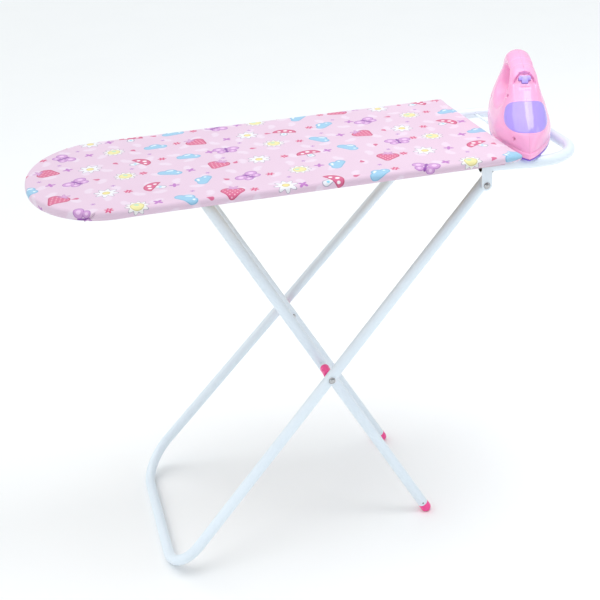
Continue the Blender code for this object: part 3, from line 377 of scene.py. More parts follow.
    # crimson strawberry with pale seeds and a light crown
    red = is_kind(kind, 1)
    berry = union(capsule(px, py, -4.2, 3.0, 0.0, -8.2, 7.0, 3.2), capsule(px, py, 4.2, 3.0, 0.0, -8.2, 7.0, 3.2))
    c = lay(c, berry, srgb(222, 110, 148), srgb(196, 70, 114), 0.8, red)
    gxx = k.m("SUBTRACT", k.m("FLOORED_MODULO", k.m("ADD", px, k.m("MULTIPLY", k.m("FLOOR", k.m("DIVIDE", py, 3.6)), 2.3)), 4.6), 2.3)
    gyy = k.m("SUBTRACT", k.m("FLOORED_MODULO", py, 3.6), 1.8)
    seeds = k.m("MAXIMUM", circle(gxx, gyy, 0, 0, 0.62, 1.0, 1.5), k.m("ADD", berry, 1.6))
    c = lay(c, seeds, srgb(250, 196, 214), where=red)
    crown = k.m("MAXIMUM", petals(px, k.m("SUBTRACT", py, 9.2), 4.6, 2.0, 5, 1.57), k.m("SUBTRACT", 7.2, py))
    c = lay(c, crown, srgb(222, 170, 214), srgb(182, 120, 184), 0.7, red)

    # white daisy with a yellow middle
    white = is_kind(kind, 2)
    daisy = petals(px, py, 9.6, 2.2, 8)
    c = lay(c, daisy, srgb(244, 243, 247), srgb(150, 136, 162), 0.75, white)
    c = lay(c, circle(px, py, 0, 0, 3.6), srgb(244, 230, 156), srgb(206, 180, 116), 0.6, white)

    # toadstool: crimson cap with white spots, pale stalk
    toad = is_kind(kind, 3)
    stalk = capsule(px, py, 0.0, -2.0, 0.0, -8.6, 3.2, 4.0)
    c = lay(c, stalk, srgb(240, 240, 246), srgb(150, 138, 166), 0.7, toad)
    c = lay(c, circle(px, py, 0.0, -6.4, 1.5), srgb(140, 214, 240), where=toad)
    cap = k.m("MAXIMUM", circle(px, py, 0.0, -1.0, 11.0, 1.12, 0.92), k.m("SUBTRACT", -2.2, py))
    c = lay(c, cap, srgb(220, 106, 146), srgb(194, 66, 108), 0.8, toad)
    dots = union(circle(px, py, -5.6, 1.6, 1.9), circle(px, py, 0.6, 4.6, 2.2), circle(px, py, 6.4, 1.2, 1.7))
    c = lay(c, dots, srgb(252, 244, 250), where=toad)

    # purple butterfly
    purple = is_kind(kind, 5)
    ax = k.m("ABSOLUTE", px)
    wings = union(circle(ax, py, 7.2, 3.4, 6.4, 1.0, 0.86), circle(ax, py, 5.4, -4.6, 4.6, 1.0, 0.9))
    c = lay(c, wings, srgb(214, 162, 216), srgb(178, 116, 190), 0.8, purple)
    c = lay(c, union(circle(ax, py, 7.6, 3.4, 2.5), circle(ax, py, 5.6, -4.6, 1.6)), srgb(244, 206, 242), where=purple)
    c = lay(c, capsule(px, py, 0.0, 6.2, 0.0, -6.6, 1.2), srgb(150, 84, 172), where=purple)

    # pale yellow sun with white rays
    sun = is_kind(kind, 6)
    c = lay(c, petals(px, py, 9.8, 1.6, 10), srgb(244, 242, 240), srgb(152, 138, 164), 0.7, sun)
    c = lay(c, circle(px, py, 0, 0, 6.4), srgb(243, 234, 170), srgb(202, 190, 126), 0.6, sun)
    c = lay(c, circle(px, py, -1.6, 1.8, 2.2, 1.2, 0.8), srgb(186, 228, 206), where=sun)

    # the colour is toned down a little overall, and more where the weave's threads dip: painted shade in the weave's
    # hollows, the same pattern as its bump
    warp = k.m("SINE", k.m("MULTIPLY", x, 2 * math.pi / 0.52))
    weft = k.m("SINE", k.m("MULTIPLY", y, 2 * math.pi / 0.52))
    over = k.m("SINE", k.m("MULTIPLY", k.m("ADD", x, y), math.pi / 0.52))
    weave = k.m("ADD", k.m("MULTIPLY", warp, k.ramp(over, -0.4, 0.4, 0.0, 1.0)), k.m("MULTIPLY", weft, k.ramp(over, -0.4, 0.4, 1.0, 0.0)))
    c = k.mix(k.ramp(weave, -1.0, 1.0, 0.18, 0.11), c, srgb(60, 40, 52))
    slub = k.noise(k.v("MULTIPLY", uv, (0.9, 0.06, 1.0)), 1.0, 3.0)
    n = k.bump(slub, 0.12, 0.0003, k.bump(weave, 0.10, 0.00010))
    k.set(Base_Color=c, Roughness=k.ramp(weave, -1.0, 1.0, 0.86, 0.78), Normal=n)
    k.bsdf.inputs["Sheen Weight"].default_value = 0.25
    k.bsdf.inputs["Sheen Roughness"].default_value = 0.45
    k.bsdf.inputs["Specular IOR Level"].default_value = 0.25
    return k.mat


MAT = {
    "white": powder_coat(),
    "white_plastic": plastic("white_plastic", srgb(218, 225, 236), srgb(232, 238, 245), 0.38),
    "steel": steel("zinc_plated_steel", (0.60, 0.61, 0.63, 1.0), 0.26),
    # shell screws in a pink darker than the shell: the darker tone is painted shade of their deep recesses
    "shell_screw": plastic("pink_screw_recess_shade", srgb(232, 116, 172), srgb(238, 128, 180), 0.30),
    "rivet": steel("bright_rivet", (0.50, 0.50, 0.51, 1.0), 0.10),
    "bore": steel("bare_steel_bore", (0.16, 0.15, 0.15, 1.0), 0.5),
    "dark": plastic("dark_plastic", srgb(34, 30, 34), srgb(52, 47, 52), 0.5),
    "hot_pink": plastic("hot_pink_plastic", srgb(248, 68, 148), srgb(253, 82, 158), 0.32, sss=0.05),
    "iron": plastic("iron_pink_plastic", srgb(254, 170, 214), srgb(255, 178, 219), 0.22, coat=0.25, sss=0.10),
    "violet": plastic("violet_plastic", srgb(128, 84, 214), srgb(144, 100, 226), 0.16, coat=0.3),
    "window": plastic("lilac_window", srgb(170, 146, 244), srgb(180, 156, 248), 0.10, coat=0.6, sss=0.05),
    "button": plastic("lilac_button", srgb(178, 160, 247), srgb(190, 172, 252), 0.20, coat=0.3, sss=0.05),
    "board": pressed_board(),
    "foam": foam(),
    "cord": drawcord(),
    "cloth": printed_cotton(),
}

# ------------------------------------------------------------------ mesh helpers


def add(name, verts, faces, mat, smooth=35.0, weld=1e-6):
    bm = bmesh.new()
    vs = [bm.verts.new((v[0] + SHIFT, v[1], v[2])) for v in verts]
    for f in faces:
        idx = []
        for i in f:
            if i not in idx:
                idx.append(i)
        if len(idx) > 2:
            try:
                bm.faces.new([vs[i] for i in idx])
            except ValueError:
                pass
    if weld:
        bmesh.ops.remove_doubles(bm, verts=bm.verts, dist=weld)
    bmesh.ops.dissolve_degenerate(bm, edges=bm.edges, dist=1e-7)
    bmesh.ops.delete(bm, geom=[v for v in bm.verts if not v.link_faces], context="VERTS")
    bmesh.ops.recalc_face_normals(bm, faces=bm.faces)
    me = bpy.data.meshes.new(name)
    bm.to_mesh(me)
    bm.free()
    ob = bpy.data.objects.new(name, me)
    col.objects.link(ob)
    shade(ob, smooth)
    if mat is not None:
        me.materials.append(MAT[mat])
    return ob


def shade(ob, angle=35.0):
    ob.data.shade_smooth()
    ob.data.set_sharp_from_angle(angle=math.radians(angle))


def bake_modifiers(ob):
    """Puts the modifiers into the mesh."""
    dg = bpy.context.evaluated_depsgraph_get()
    me = bpy.data.meshes.new_from_object(ob.evaluated_get(dg), depsgraph=dg)
    ob.modifiers.clear()
    old = ob.data
    ob.data = me
    bpy.data.meshes.remove(old)
    return ob


def cut(ob, *parts, op="DIFFERENCE", angle=35.0, solver="EXACT"):
    """Boolean with closed helper solids, which are removed again."""
    helpers = []
    for i, (v, f) in enumerate(parts):
        h = add(ob.name + "_helper%d" % i, v, f, None, 0.0)
        m = ob.modifiers.new("cut%d" % i, "BOOLEAN")
        m.operation, m.solver, m.object = op, solver, h
        helpers.append(h)
    bake_modifiers(ob)
    for h in helpers:
        bpy.data.objects.remove(h, do_unlink=True)
    shade(ob, angle)
    return ob


def soften(ob, width, segments=2, angle=40.0):
    """Small rounded edges."""
    m = ob.modifiers.new("edges", "BEVEL")
    m.width, m.segments, m.limit_method, m.angle_limit = width, segments, "ANGLE", math.radians(angle)
    m.harden_normals = False
    bake_modifiers(ob)
    shade(ob, 50.0)
    return ob


def basis(direction):
    w = Vector(direction).normalized()
    up = Vector((0, 0, 1)) if abs(w.z) < 0.95 else Vector((0, 1, 0))
    u = up.cross(w).normalized()
    return u, w.cross(u), w


def turned(profile, origin, direction, seg=48):
    u, v, w = basis(direction)
    o = Vector(origin)
    verts, faces, rings = [], [], []
    for d, r in profile:
        if r < 1e-9:
            rings.append([len(verts)] * seg)
            verts.append(o + w * d)
        else:
            ring = []
            for i in range(seg):
                a = 2 * math.pi * i / seg
                ring.append(len(verts))
                verts.append(o + w * d + (u * math.cos(a) + v * math.sin(a)) * r)
            rings.append(ring)
    solid = profile[0][1] < 1e-9 and profile[-1][1] < 1e-9
    n = len(rings)
    for k in range(n - 1 if solid else n):
        a, b = rings[k], rings[(k + 1) % n]
        for i in range(seg):
            j = (i + 1) % seg
            faces.append((a[i], a[j], b[j], b[i]))
    return verts, faces


def rod(a, b, r, seg=24):
    a, b = Vector(a), Vector(b)
    L = (b - a).length
    return turned([(0, 0), (0, r), (L, r), (L, 0)], a, b - a, seg)


def box(x0, x1, y0, y1, z0, z1):
    v = [(x, y, z) for z in (z0, z1) for y in (y0, y1) for x in (x0, x1)]
    f = [(0, 2, 3, 1), (4, 5, 7, 6), (0, 1, 5, 4), (2, 6, 7, 3), (0, 4, 6, 2), (1, 3, 7, 5)]
    return v, f


def fillet(points, radii, steps=8):
    pts = [Vector(p) for p in points]
    out = [pts[0]]
    for i in range(1, len(pts) - 1):
        p, a, b = pts[i], pts[i - 1], pts[i + 1]
        r = radii[i - 1]
        da, db = (a - p).normalized(), (b - p).normalized()
        ang = da.angle(db)
        if math.pi - ang < 1e-4:
            out.append(p)
            continue
        c = p + (da + db).normalized() * (r / math.sin(ang / 2))
        k_ = r / math.tan(ang / 2)
        s, e = p + da * k_ - c, p + db * k_ - c
        tot = s.angle(e)
        n = max(2, int(math.ceil(steps * tot / (math.pi / 2))))
        for k in range(n + 1):
            t = k / n
            out.append(c + (s * math.sin((1 - t) * tot) + e * math.sin(t * tot)) / math.sin(tot))
    out.append(pts[-1])
    return out


def tube(points, ro, ri=None, seg=40, closed=False, lip=0.0):
    """Tube or rod swept along a polyline. lip rounds the open ends a little."""
    pts = [Vector(p) for p in points]
    n = len(pts)
    tang = []
    for i in range(n):
        if closed:
            a, b = pts[i - 1], pts[(i + 1) % n]
        else:
            a, b = pts[max(i - 1, 0)], pts[min(i + 1, n - 1)]
        tang.append((b - a).normalized())
    u, v, _ = basis(tang[0])
    frames = []
    for i in range(n):
        if i:
            q = tang[i - 1].rotation_difference(tang[i])
            u = q @ u
        u = (u - tang[i] * u.dot(tang[i])).normalized()
        frames.append((pts[i], tang[i], u.copy(), tang[i].cross(u)))
    rings_o, rings_i = [], []
    verts = []

    def ring(p, uu, vv, r):
        out = []
        for k in range(seg):
            a = 2 * math.pi * (k + 0.5) / seg
            out.append(len(verts))
            verts.append(p + (uu * math.cos(a) + vv * math.sin(a)) * r)
        return out

    for i, (p, t, uu, vv) in enumerate(frames):
        if not closed and lip and i in (0, n - 1):
            s = 1 if i == 0 else -1
            for d, r in ((0.0, ro - lip), (lip * 0.3, ro - lip * 0.3), (lip, ro)) if i == 0 else ((lip, ro), (lip * 0.3, ro - lip * 0.3), (0.0, ro - lip)):
                rings_o.append(ring(p + t * (s * d), uu, vv, r))
        else:
            rings_o.append(ring(p, uu, vv, ro))
        if ri is not None:
            rings_i.append(ring(p, uu, vv, ri))
    faces = []

    def skin(rings, wrap):
        m = len(rings)
        for i in range(m if wrap else m - 1):
            a, b = rings[i], rings[(i + 1) % m]
            for k in range(seg):
                j = (k + 1) % seg
                faces.append((a[k], a[j], b[j], b[k]))

    skin(rings_o, closed)
    if ri is not None:
        skin(rings_i, closed)
    if not closed:
        if ri is None:
            faces.append(tuple(rings_o[0]))
            faces.append(tuple(rings_o[-1]))
        else:
            for a, b in ((rings_o[0], rings_i[0]), (rings_o[-1], rings_i[-1])):
                for k in range(seg):
                    j = (k + 1) % seg
                    faces.append((a[k], a[j], b[j], b[k]))
    return verts, faces


def arc_profile(points, n=5):
    """Rounds the inner corners of a turned profile: points are (d, r) or (d, r, fillet)."""
    out = []
    m = len(points)
    for i, p in enumerate(points):
        if len(p) < 3 or i in (0, m - 1):
            out.append((p[0], p[1]))
            continue
        a, b, c = Vector(points[i - 1][:2]), Vector(p[:2]), Vector(points[i + 1][:2])
        r = min(p[2], (a - b).length * 0.49, (c - b).length * 0.49)
        s, e = b + (a - b).normalized() * r, b + (c - b).normalized() * r
        for k in range(n + 1):
            t = k / n
            q = s * (1 - t) ** 2 + b * 2 * t * (1 - t) + e * t * t
            out.append((q.x, q.y))
    return out


def finish_piece(ob, body, slot, *nodes):
    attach(ob, body)
    if nodes:
        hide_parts(*nodes)
    return ob


# ------------------------------------------------------------------ leg geometry
P = Vector((PIVOT_X, 0, PIVOT_Z))
FOOT_A = Vector((FOOT_A_X, 0, TUBE_R))


def leg_a(t, side):
    p = P.lerp(FOOT_A, t)
    p.y = side * (LEG_A_TOP + (LEG_A_FOOT - LEG_A_TOP) * t)
    return p


CROSS = leg_a(CROSS_T, 0)
CROSS.y = 0
CROSS_A_Y = LEG_A_TOP + (LEG_A_FOOT - LEG_A_TOP) * CROSS_T
FOOT_B = Vector((FOOT_B_X, 0, 0))
BAR_T = BAR_Z / CROSS.z


def leg_b(t, side):
    p = FOOT_B.lerp(CROSS, t)
    p.y = side * (LEG_B_FOOT + (LEG_B_TOP - LEG_B_FOOT) * t / BAR_T)
    return p


CROSS_B_Y = leg_b(1.0, 1).y
BAR_X = leg_b(BAR_T, 0).x
SIDES = ((-1, "near"), (1, "far"))

# ------------------------------------------------------------------ screws and rivets


def screw(node, x, y, seat, head_r=0.0032, head_h=0.0016, shank_r=0.0015, into=0.0050):
    """Pan head with a cross recess, pointing up into the board."""
    top = DECK_Z0 + into
    L = top - seat + head_h
    prof = arc_profile([(0.00015, 0), (0, head_r * 0.50), (head_h * 0.55, head_r, head_h * 0.5), (head_h, head_r, 0.0002),
                        (head_h, shank_r)], 6)
    z = head_h + 0.0004
    while z < L - 0.0016:
        prof += [(z, shank_r * 0.78), (z + 0.00035, shank_r), (z + 0.0007, shank_r * 0.78)]
        z += 0.0009
    prof += [(L - 0.0012, shank_r * 0.7), (L, 0)]
    ob = add(node + "_fine", *turned(prof, (x, y, seat - head_h), (0, 0, 1), 36), "steel")
    a, w, d = head_r * 0.58, head_r * 0.13, head_h * 0.55
    cut(ob, box(x - a, x + a, y - w, y + w, seat - head_h - 0.001, seat - head_h + d),
        box(x - w, x + w, y - a, y + a, seat - head_h - 0.001, seat - head_h + d))
    return finish_piece(ob, "board", "screw_steel", node)


def paint_bore(ob, path, mat):
    """Bare metal on the inside of a tube."""
    ob.data.materials.append(MAT[mat])
    a = np.array([(p.x + SHIFT, p.y, p.z) for p in map(Vector, path)])
    d = a[1:] - a[:-1]
    L2 = (d ** 2).sum(1)
    for f in ob.data.polygons:
        c = np.array(f.center)
        t = np.clip(((c - a[:-1]) * d).sum(1) / L2, 0, 1)
        if np.sqrt(((c - a[:-1] - d * t[:, None]) ** 2).sum(1)).min() < (BORE_R + 0.0002):
            f.material_index = 1


def rivet(node, body, x, z, y_tail, y_head, side, head_r=0.0046):
    L = y_head - y_tail
    dome = [(L + 0.0024 * math.sin(a), head_r * math.cos(a) ** 0.9) for a in np.linspace(0.06, math.pi / 2 - 0.04, 14)]
    prof = [(-0.0014, 0), (-0.0014, 0.0020), (-0.0013, 0.0027), (-0.0009, 0.0034), (-0.0003, 0.0038), (0, 0.0038),
            (0, RIVET_R), (L, RIVET_R), (L, head_r * 0.97), (L + 0.0001, head_r)] + dome + [(L + 0.0024, 0)]
    ob = add(node + "_fine", *turned(prof, (x, side * y_tail, z), (0, side, 0), 48), "rivet", 50.0)
    return finish_piece(ob, body, "rivet_steel", node)


# ------------------------------------------------------------------ iron rest
rest_pts = fillet([(REST_X0, -REST_Y, REST_Z), (0.2370, -REST_Y, REST_Z), (0.2850, -REST_Y2, REST_Z),
                   (REST_X1, -REST_Y2, REST_Z), (REST_X1, REST_Y2, REST_Z), (0.2850, REST_Y2, REST_Z),
                   (0.2370, REST_Y, REST_Z), (REST_X0, REST_Y, REST_Z)],
                  [0.07, 0.07, REST_BEND, REST_BEND, 0.07, 0.07], 40)
rest = add("iron_rest_tube_fine", *tube(rest_pts, TUBE_R, BORE_R, 48, lip=0.0004), "white")


def rest_y(x):
    for a, b in zip(rest_pts[:-1], rest_pts[1:]):
        if a.y <= 0 and b.y <= 0 and min(a.x, b.x) <= x <= max(a.x, b.x) and abs(a.x - b.x) > 1e-9:
            return abs(a.y + (b.y - a.y) * (x - a.x) / (b.x - a.x))


holes = []
for k, x in enumerate(WIRE_X):
    yc = rest_y(x)
    node = "rest_wire_inner" if k == 0 else "rest_wire_outer"
    ye = yc - 0.0040
    w = add(node + "_fine", *turned(arc_profile([(0, 0), (0, WIRE_R, 0.0004), (2 * ye, WIRE_R, 0.0004), (2 * ye, 0)]), (x, -ye, REST_Z), (0, 1, 0), 24), "white")
    finish_piece(w, "board", "white_tube", node)
    for s in (-1, 1):
        holes.append(rod((x, s * (yc - 0.0005), REST_Z), (x, s * (yc - 0.012), REST_Z), WIRE_R + 0.0003, 24))
for s in (-1, 1):
    holes.append(rod((TUBE_SCREW_X, s * REST_Y, REST_Z - 0.010), (TUBE_SCREW_X, s * REST_Y, REST_Z + 0.010), 0.0018, 24))
cut(rest, *holes)
paint_bore(rest, rest_pts, "bore")
finish_piece(rest, "board", "white_tube", "iron_rest_tube")
for s, tag in SIDES:
    screw("rest_screw_" + tag, TUBE_SCREW_X, s * REST_Y, REST_Z - TUBE_R - 0.0003, 0.0028)

# ------------------------------------------------------------------ hinge brackets


def bracket(side, tag):
    half = 0.0070
    path = []
    for a in np.linspace(-90, 0, 19):
        a = math.radians(a)
        path.append((WEB_IN + BR_T, PIVOT_Z + half * math.sin(a), max(half * math.cos(a), 0.0004)))
    r_out = 0.0026
    zt = FLANGE_Z + BR_T
    path.append((WEB_IN + BR_T, zt - r_out, half))
    for a in np.linspace(0, 90, 11)[1:]:
        a = math.radians(a)
        path.append((WEB_IN + BR_T - r_out + r_out * math.cos(a), zt - r_out + r_out * math.sin(a), half))
    for a in np.linspace(90, 0, 19):
        a = math.radians(a)
        path.append((FLANGE_END + half - half * math.cos(a), zt, max(half * math.sin(a), 0.0004)))
    inner = []
    for i, (y, z, h) in enumerate(path):
        a, b = path[max(i - 1, 0)], path[min(i + 1, len(path) - 1)]
        ty, tz = b[0] - a[0], b[1] - a[1]
        L = math.hypot(ty, tz)
        inner.append((y - BR_T * tz / L, z + BR_T * ty / L, h))
    verts, faces = [], []
    for (y, z, h), (yi, zi, hi) in zip(path, inner):
        verts += [(PIVOT_X - h, side * y, z), (PIVOT_X + h, side * y, z),
                  (PIVOT_X + h, side * yi, zi), (PIVOT_X - h, side * yi, zi)]
    for k in range(len(path) - 1):
        a, b = 4 * k, 4 * (k + 1)
        for i in range(4):
            j = (i + 1) % 4
            faces.append((a + i, a + j, b + j, b + i))
    faces.append((0, 1, 2, 3))
    m = 4 * (len(path) - 1)
    faces.append((m, m + 1, m + 2, m + 3))
    ob = add("pivot_bracket_%s_fine" % tag, verts, faces, "white")
    soften(ob, 0.00028, 2, 50.0)
    hs = [rod((PIVOT_X, side * 0.110, PIVOT_Z), (PIVOT_X, side * 0.126, PIVOT_Z), HOLE_R, 24)]
    for i, y in enumerate((0.0975, 0.0855)):
        hs.append(rod((PIVOT_X, side * y, FLANGE_Z - 0.003), (PIVOT_X, side * y, FLANGE_Z + BR_T + 0.002), 0.0018, 20))
        screw("bracket_screw_%s_%d" % (tag, i + 1), PIVOT_X, side * y, FLANGE_Z - 0.0001)
    cut(ob, *hs, angle=50.0)
    finish_piece(ob, "board", "white_tube", "pivot_bracket_" + tag)

    y0, y1 = 0.1156, 0.1178
    hw = 0.0067
    pts = [(PIVOT_X + hw * math.cos(a), PIVOT_Z + hw * math.sin(a)) for a in np.linspace(math.pi, 2 * math.pi, 33)]
    pts += [(PIVOT_X + hw, PIVOT_Z + 0.0085)]
    pts += [(PIVOT_X + hw - 0.002 + 0.002 * math.cos(a), PIVOT_Z + 0.0085 + 0.002 * math.sin(a)) for a in np.linspace(0.2, math.pi / 2, 6)]
    pts += [(PIVOT_X - hw + 0.002 + 0.002 * math.cos(a), PIVOT_Z + 0.0085 + 0.002 * math.sin(a)) for a in np.linspace(math.pi / 2, math.pi - 0.2, 6)]
    pts += [(PIVOT_X - hw, PIVOT_Z + 0.0085)]
    n = len(pts)
    verts = [(x, side * y0, z) for x, z in pts] + [(x, side * y1, z) for x, z in pts]
    faces = [tuple(range(n)), tuple(range(n, 2 * n))] + [(i, (i + 1) % n, n + (i + 1) % n, n + i) for i in range(n)]
    sp = add("pivot_spacer_%s_fine" % tag, verts, faces, "white_plastic")
    soften(sp, 0.0003)
    cut(sp, rod((PIVOT_X, side * 0.110, PIVOT_Z), (PIVOT_X, side * 0.126, PIVOT_Z), HOLE_R, 24))
    finish_piece(sp, "board", "white_plastic", "pivot_spacer_" + tag)


for s, tag in SIDES:
    bracket(s, tag)
    rivet("pivot_rivet_" + tag, "board", PIVOT_X, PIVOT_Z, LEG_A_TOP - TUBE_R - 0.0006, WEB_IN + BR_T + 0.0002, s)

# ------------------------------------------------------------------ catch for the inner frame
bx, top = BAR_X, DECK_Z0 - GAP
hook = [(bx - 0.0035, top), (bx + 0.0300, top), (bx + 0.0300, top - 0.0030), (bx + 0.0165, top - 0.0030),
        (bx + 0.0135, top - 0.0060), (bx + 0.0120, BAR_Z - 0.0105), (bx + 0.0105, BAR_Z - 0.0115),
        (bx - 0.0035, BAR_Z - 0.0115), (bx - 0.0055, BAR_Z - 0.0106), (bx - 0.0055, BAR_Z - 0.0092),
        (bx - 0.0030, BAR_Z - 0.0081), (bx + 0.0035, BAR_Z - 0.0081)]
hook += [(bx + 0.0081 * math.cos(a), BAR_Z + 0.0081 * math.sin(a)) for a in np.linspace(-1.1, 1.0, 16)]
hook += [(bx + 0.0035, BAR_Z + 0.0080), (bx - 0.0035, BAR_Z + 0.0080)]
half = 0.0240
n = len(hook)
verts = [(x, -half, z) for x, z in hook] + [(x, half, z) for x, z in hook]
faces = [tuple(range(n)), tuple(range(n, 2 * n))] + [(i, (i + 1) % n, n + (i + 1) % n, n + i) for i in range(n)]
catch = add("leg_catch_fine", verts, faces, "white_plastic")
soften(catch, 0.0004, 2, 45.0)
holes = []
for s, tag in SIDES:
    holes.append(rod((bx + 0.0235, s * 0.0150, top - 0.0050), (bx + 0.0235, s * 0.0150, top + 0.002), 0.0018, 20))
    screw("catch_screw_" + tag, bx + 0.0235, s * 0.0150, top - 0.0030 - 0.0002)
cut(catch, *holes)
finish_piece(catch, "board", "white_plastic", "leg_catch")

# ------------------------------------------------------------------ outer frame
END_T = -0.0085 / (FOOT_A - P).length
a_path = fillet([leg_a(END_T, -1), leg_a(1.0, -1), leg_a(1.0, 1), leg_a(END_T, 1)], [FOOT_BEND, FOOT_BEND], 40)
outer = add("outer_leg_tube_fine", *tube(a_path, TUBE_R, BORE_R, 48, lip=0.0004), "white")
holes = []
for s in (-1, 1):
    holes.append(rod((PIVOT_X, s * 0.090, PIVOT_Z), (PIVOT_X, s * 0.125, PIVOT_Z), HOLE_R, 24))
    holes.append(rod((CROSS.x, s * (CROSS_A_Y - 0.015), CROSS.z), (CROSS.x, s * (CROSS_A_Y + 0.015), CROSS.z), HOLE_R, 24))
for y in (0.028, -0.0135):
    holes.append(rod((FOOT_A_X + 0.002, y, TUBE_R + 0.0012), (FOOT_A_X + 0.012, y, TUBE_R + 0.0030), 0.0012, 20))
cut(outer, *holes)
paint_bore(outer, a_path, "bore")
finish_piece(outer, "outer_leg", "white_tube", "outer_leg_tube")
for s, tag in SIDES:
    rivet("cross_rivet_" + tag, "outer_leg", CROSS.x, CROSS.z, CROSS_B_Y - TUBE_R - 0.0006, CROSS_A_Y + TUBE_R + 0.0004, s, 0.0048)
    e = leg_a(END_T, s)
    d = e - leg_a(END_T + 0.01, s)
    prof = arc_profile([(-0.0042, 0), (-0.0042, 0.0055, 0.0006), (-0.0030, 0.0060), (0.0003, 0.0060), (0.0003, 0.0071, 0.0002),
                        (0.0012, 0.0069, 0.0006), (0.0015, 0.0052, 0.0006), (0.0011, 0.0036, 0.0004), (0.0011, 0)])
    plug = add("leg_end_plug_%s_fine" % tag, *turned(prof, e, d, 40), "dark")
    finish_piece(plug, "outer_leg", "dark_plastic", "leg_end_plug_" + tag)

# ------------------------------------------------------------------ inner frame
UNIT_B = (leg_b(0.0, 1) - leg_b(1.0, 1)).length
T_END = CAP_LEN / UNIT_B
b_path = fillet([leg_b(T_END, -1), leg_b(BAR_T, -1), leg_b(BAR_T, 1), leg_b(T_END, 1)], [0.026, 0.026], 36)
inner = add("inner_leg_tube_fine", *tube(b_path, TUBE_R, BORE_R, 48, lip=0.0004), "white")
holes = []
for s in (-1, 1):
    holes.append(rod((CROSS.x, s * (CROSS_B_Y - 0.015), CROSS.z), (CROSS.x, s * (CROSS_B_Y + 0.015), CROSS.z), HOLE_R, 24))
    q = leg_b(T_END + 0.0045 / UNIT_B, s)
    holes.append(rod((q.x, s * (abs(q.y) + 0.0045), q.z), (q.x, s * (abs(q.y) + 0.012), q.z), 0.0013, 20))
cut(inner, *holes)
paint_bore(inner, b_path, "bore")
finish_piece(inner, "inner_leg", "white_tube", "inner_leg_tube")

for s, tag in SIDES:
    e = leg_b(T_END, s)
    d = leg_b(0.0, s) - leg_b(1.0, s)
    prof = arc_profile([(-0.0160, 0), (-0.0160, 0.0052, 0.001), (-0.0148, 0.0060, 0.0005), (0.0003, 0.0060), (0.0003, 0.0073, 0.0002),
                        (0.0012, 0.0078, 0.0004), (0.0024, 0.0078, 0.0004), (0.0028, 0.0075, 0.0003), (0.0066, 0.0078, 0.002)], 5)
    for a in np.linspace(0, math.pi / 2, 22):
        prof.append((0.0078 + 0.0080 * math.sin(a), 0.0078 * math.cos(a)))
    prof[-1] = (0.0158, 0)
    v, f = turned(prof, e, d, 56)
    v = [Vector((p.x, p.y, max(p.z, 0.0))) for p in v]
    cap = add("foot_cap_%s_fine" % tag, v, f, "hot_pink", 50.0)
    finish_piece(cap, "inner_leg", "hot_pink_plastic", "foot_cap_" + tag)
    q = leg_b(T_END + 0.0045 / UNIT_B, s)
    yo = abs(q.y)
    pin = add("cap_pin_%s_fine" % tag, *turned(arc_profile([(0, 0), (0, 0.0010), (0.0011, 0.0010, 0.0004), (0.0012, 0)]),
                                               (q.x, s * (yo + 0.0063), q.z), (0, s, 0), 24), "dark")
    finish_piece(pin, "inner_leg", "dark_plastic", "cap_pin_" + tag)
    y0, y1 = 0.0962, CROSS_A_Y - TUBE_R - 0.0008
    w0 = CROSS_B_Y + TUBE_R + 0.0008
    t = y0 - w0 - 0.0003
    wash = add("cross_washer_%s_fine" % tag, *turned(arc_profile([(0, HOLE_R), (0, 0.0046, 0.0004), (t, 0.0046, 0.0004), (t, HOLE_R)]),
                                                     (CROSS.x, s * w0, CROSS.z), (0, s, 0), 40), "white_plastic")
    finish_piece(wash, "inner_leg", "white_plastic", "cross_washer_" + tag)
    t = y1 - y0
    spc = add("cross_spacer_%s_fine" % tag, *turned(arc_profile([(0, HOLE_R), (0, 0.0056, 0.0006), (0.0016, 0.0066, 0.0006),
                                                                 (0.0032, 0.0063, 0.0006), (t - 0.0032, 0.0063, 0.0006), (t - 0.0016, 0.0066, 0.0006),
                                                                 (t, 0.0060, 0.0006), (t, HOLE_R)]),
                                                    (CROSS.x, s * y0, CROSS.z), (0, s, 0), 48), "hot_pink")
    finish_piece(spc, "inner_leg", "hot_pink_plastic", "cross_spacer_" + tag)

# ------------------------------------------------------------------ cover, pad and cord
XC = BOARD_X0 + NOSE_LEN


def half_outline():
    """Points (x, y) with outward normals on the +y half, from the nose's tip to the square end."""
    pts = []
    # nose, by equal steps of arc
    fine = np.linspace(math.pi, math.pi / 2, 2000)
    ex, ey = XC + NOSE_LEN * np.cos(fine), BOARD_HALF * np.sin(fine)
    arc = np.concatenate([[0], np.cumsum(np.hypot(np.diff(ex), np.diff(ey)))])
    at = list(np.linspace(0, arc[-1], 76))
    lo_, hi_ = (float(np.interp(math.radians(a), fine[::-1], arc[::-1])) for a in (118, 103))
    at = sorted([d for d in at if not lo_ - 0.001 < d < hi_ + 0.001] + list(np.linspace(lo_, hi_, 40)))
    for d in at:
        t = float(np.interp(d, arc, fine))
        nx, ny = math.cos(t) / NOSE_LEN, math.sin(t) / BOARD_HALF
        L = math.hypot(nx, ny)
        pts.append((XC + NOSE_LEN * math.cos(t), BOARD_HALF * math.sin(t), nx / L, ny / L))
    x1 = BOARD_X1 - CORNER_R
    xs = list(np.linspace(XC, x1 - 0.036, 118)[1:]) + list(np.linspace(x1 - 0.036, x1, 19)[1:])
    for x in xs:
        pts.append((x, BOARD_HALF, 0.0, 1.0))
    for a in np.linspace(math.pi / 2, 0, 13)[1:]:
        pts.append((x1 + CORNER_R * math.cos(a), BOARD_HALF - CORNER_R + CORNER_R * math.sin(a), math.cos(a), math.sin(a)))
    return pts


def edge_dist(x, y):
    """Distance in from the board's outline."""
    d = min(BOARD_X1 - x, BOARD_HALF - abs(y))
    if x < XC:
        a, b = (x - XC) / NOSE_LEN, y / BOARD_HALF
        F = math.hypot(a, b)
        if F < 1e-6:
            return NOSE_LEN
        g = math.hypot(a / NOSE_LEN, b / BOARD_HALF) / F
        d = min((1 - F) / g, BOARD_HALF)
    return d


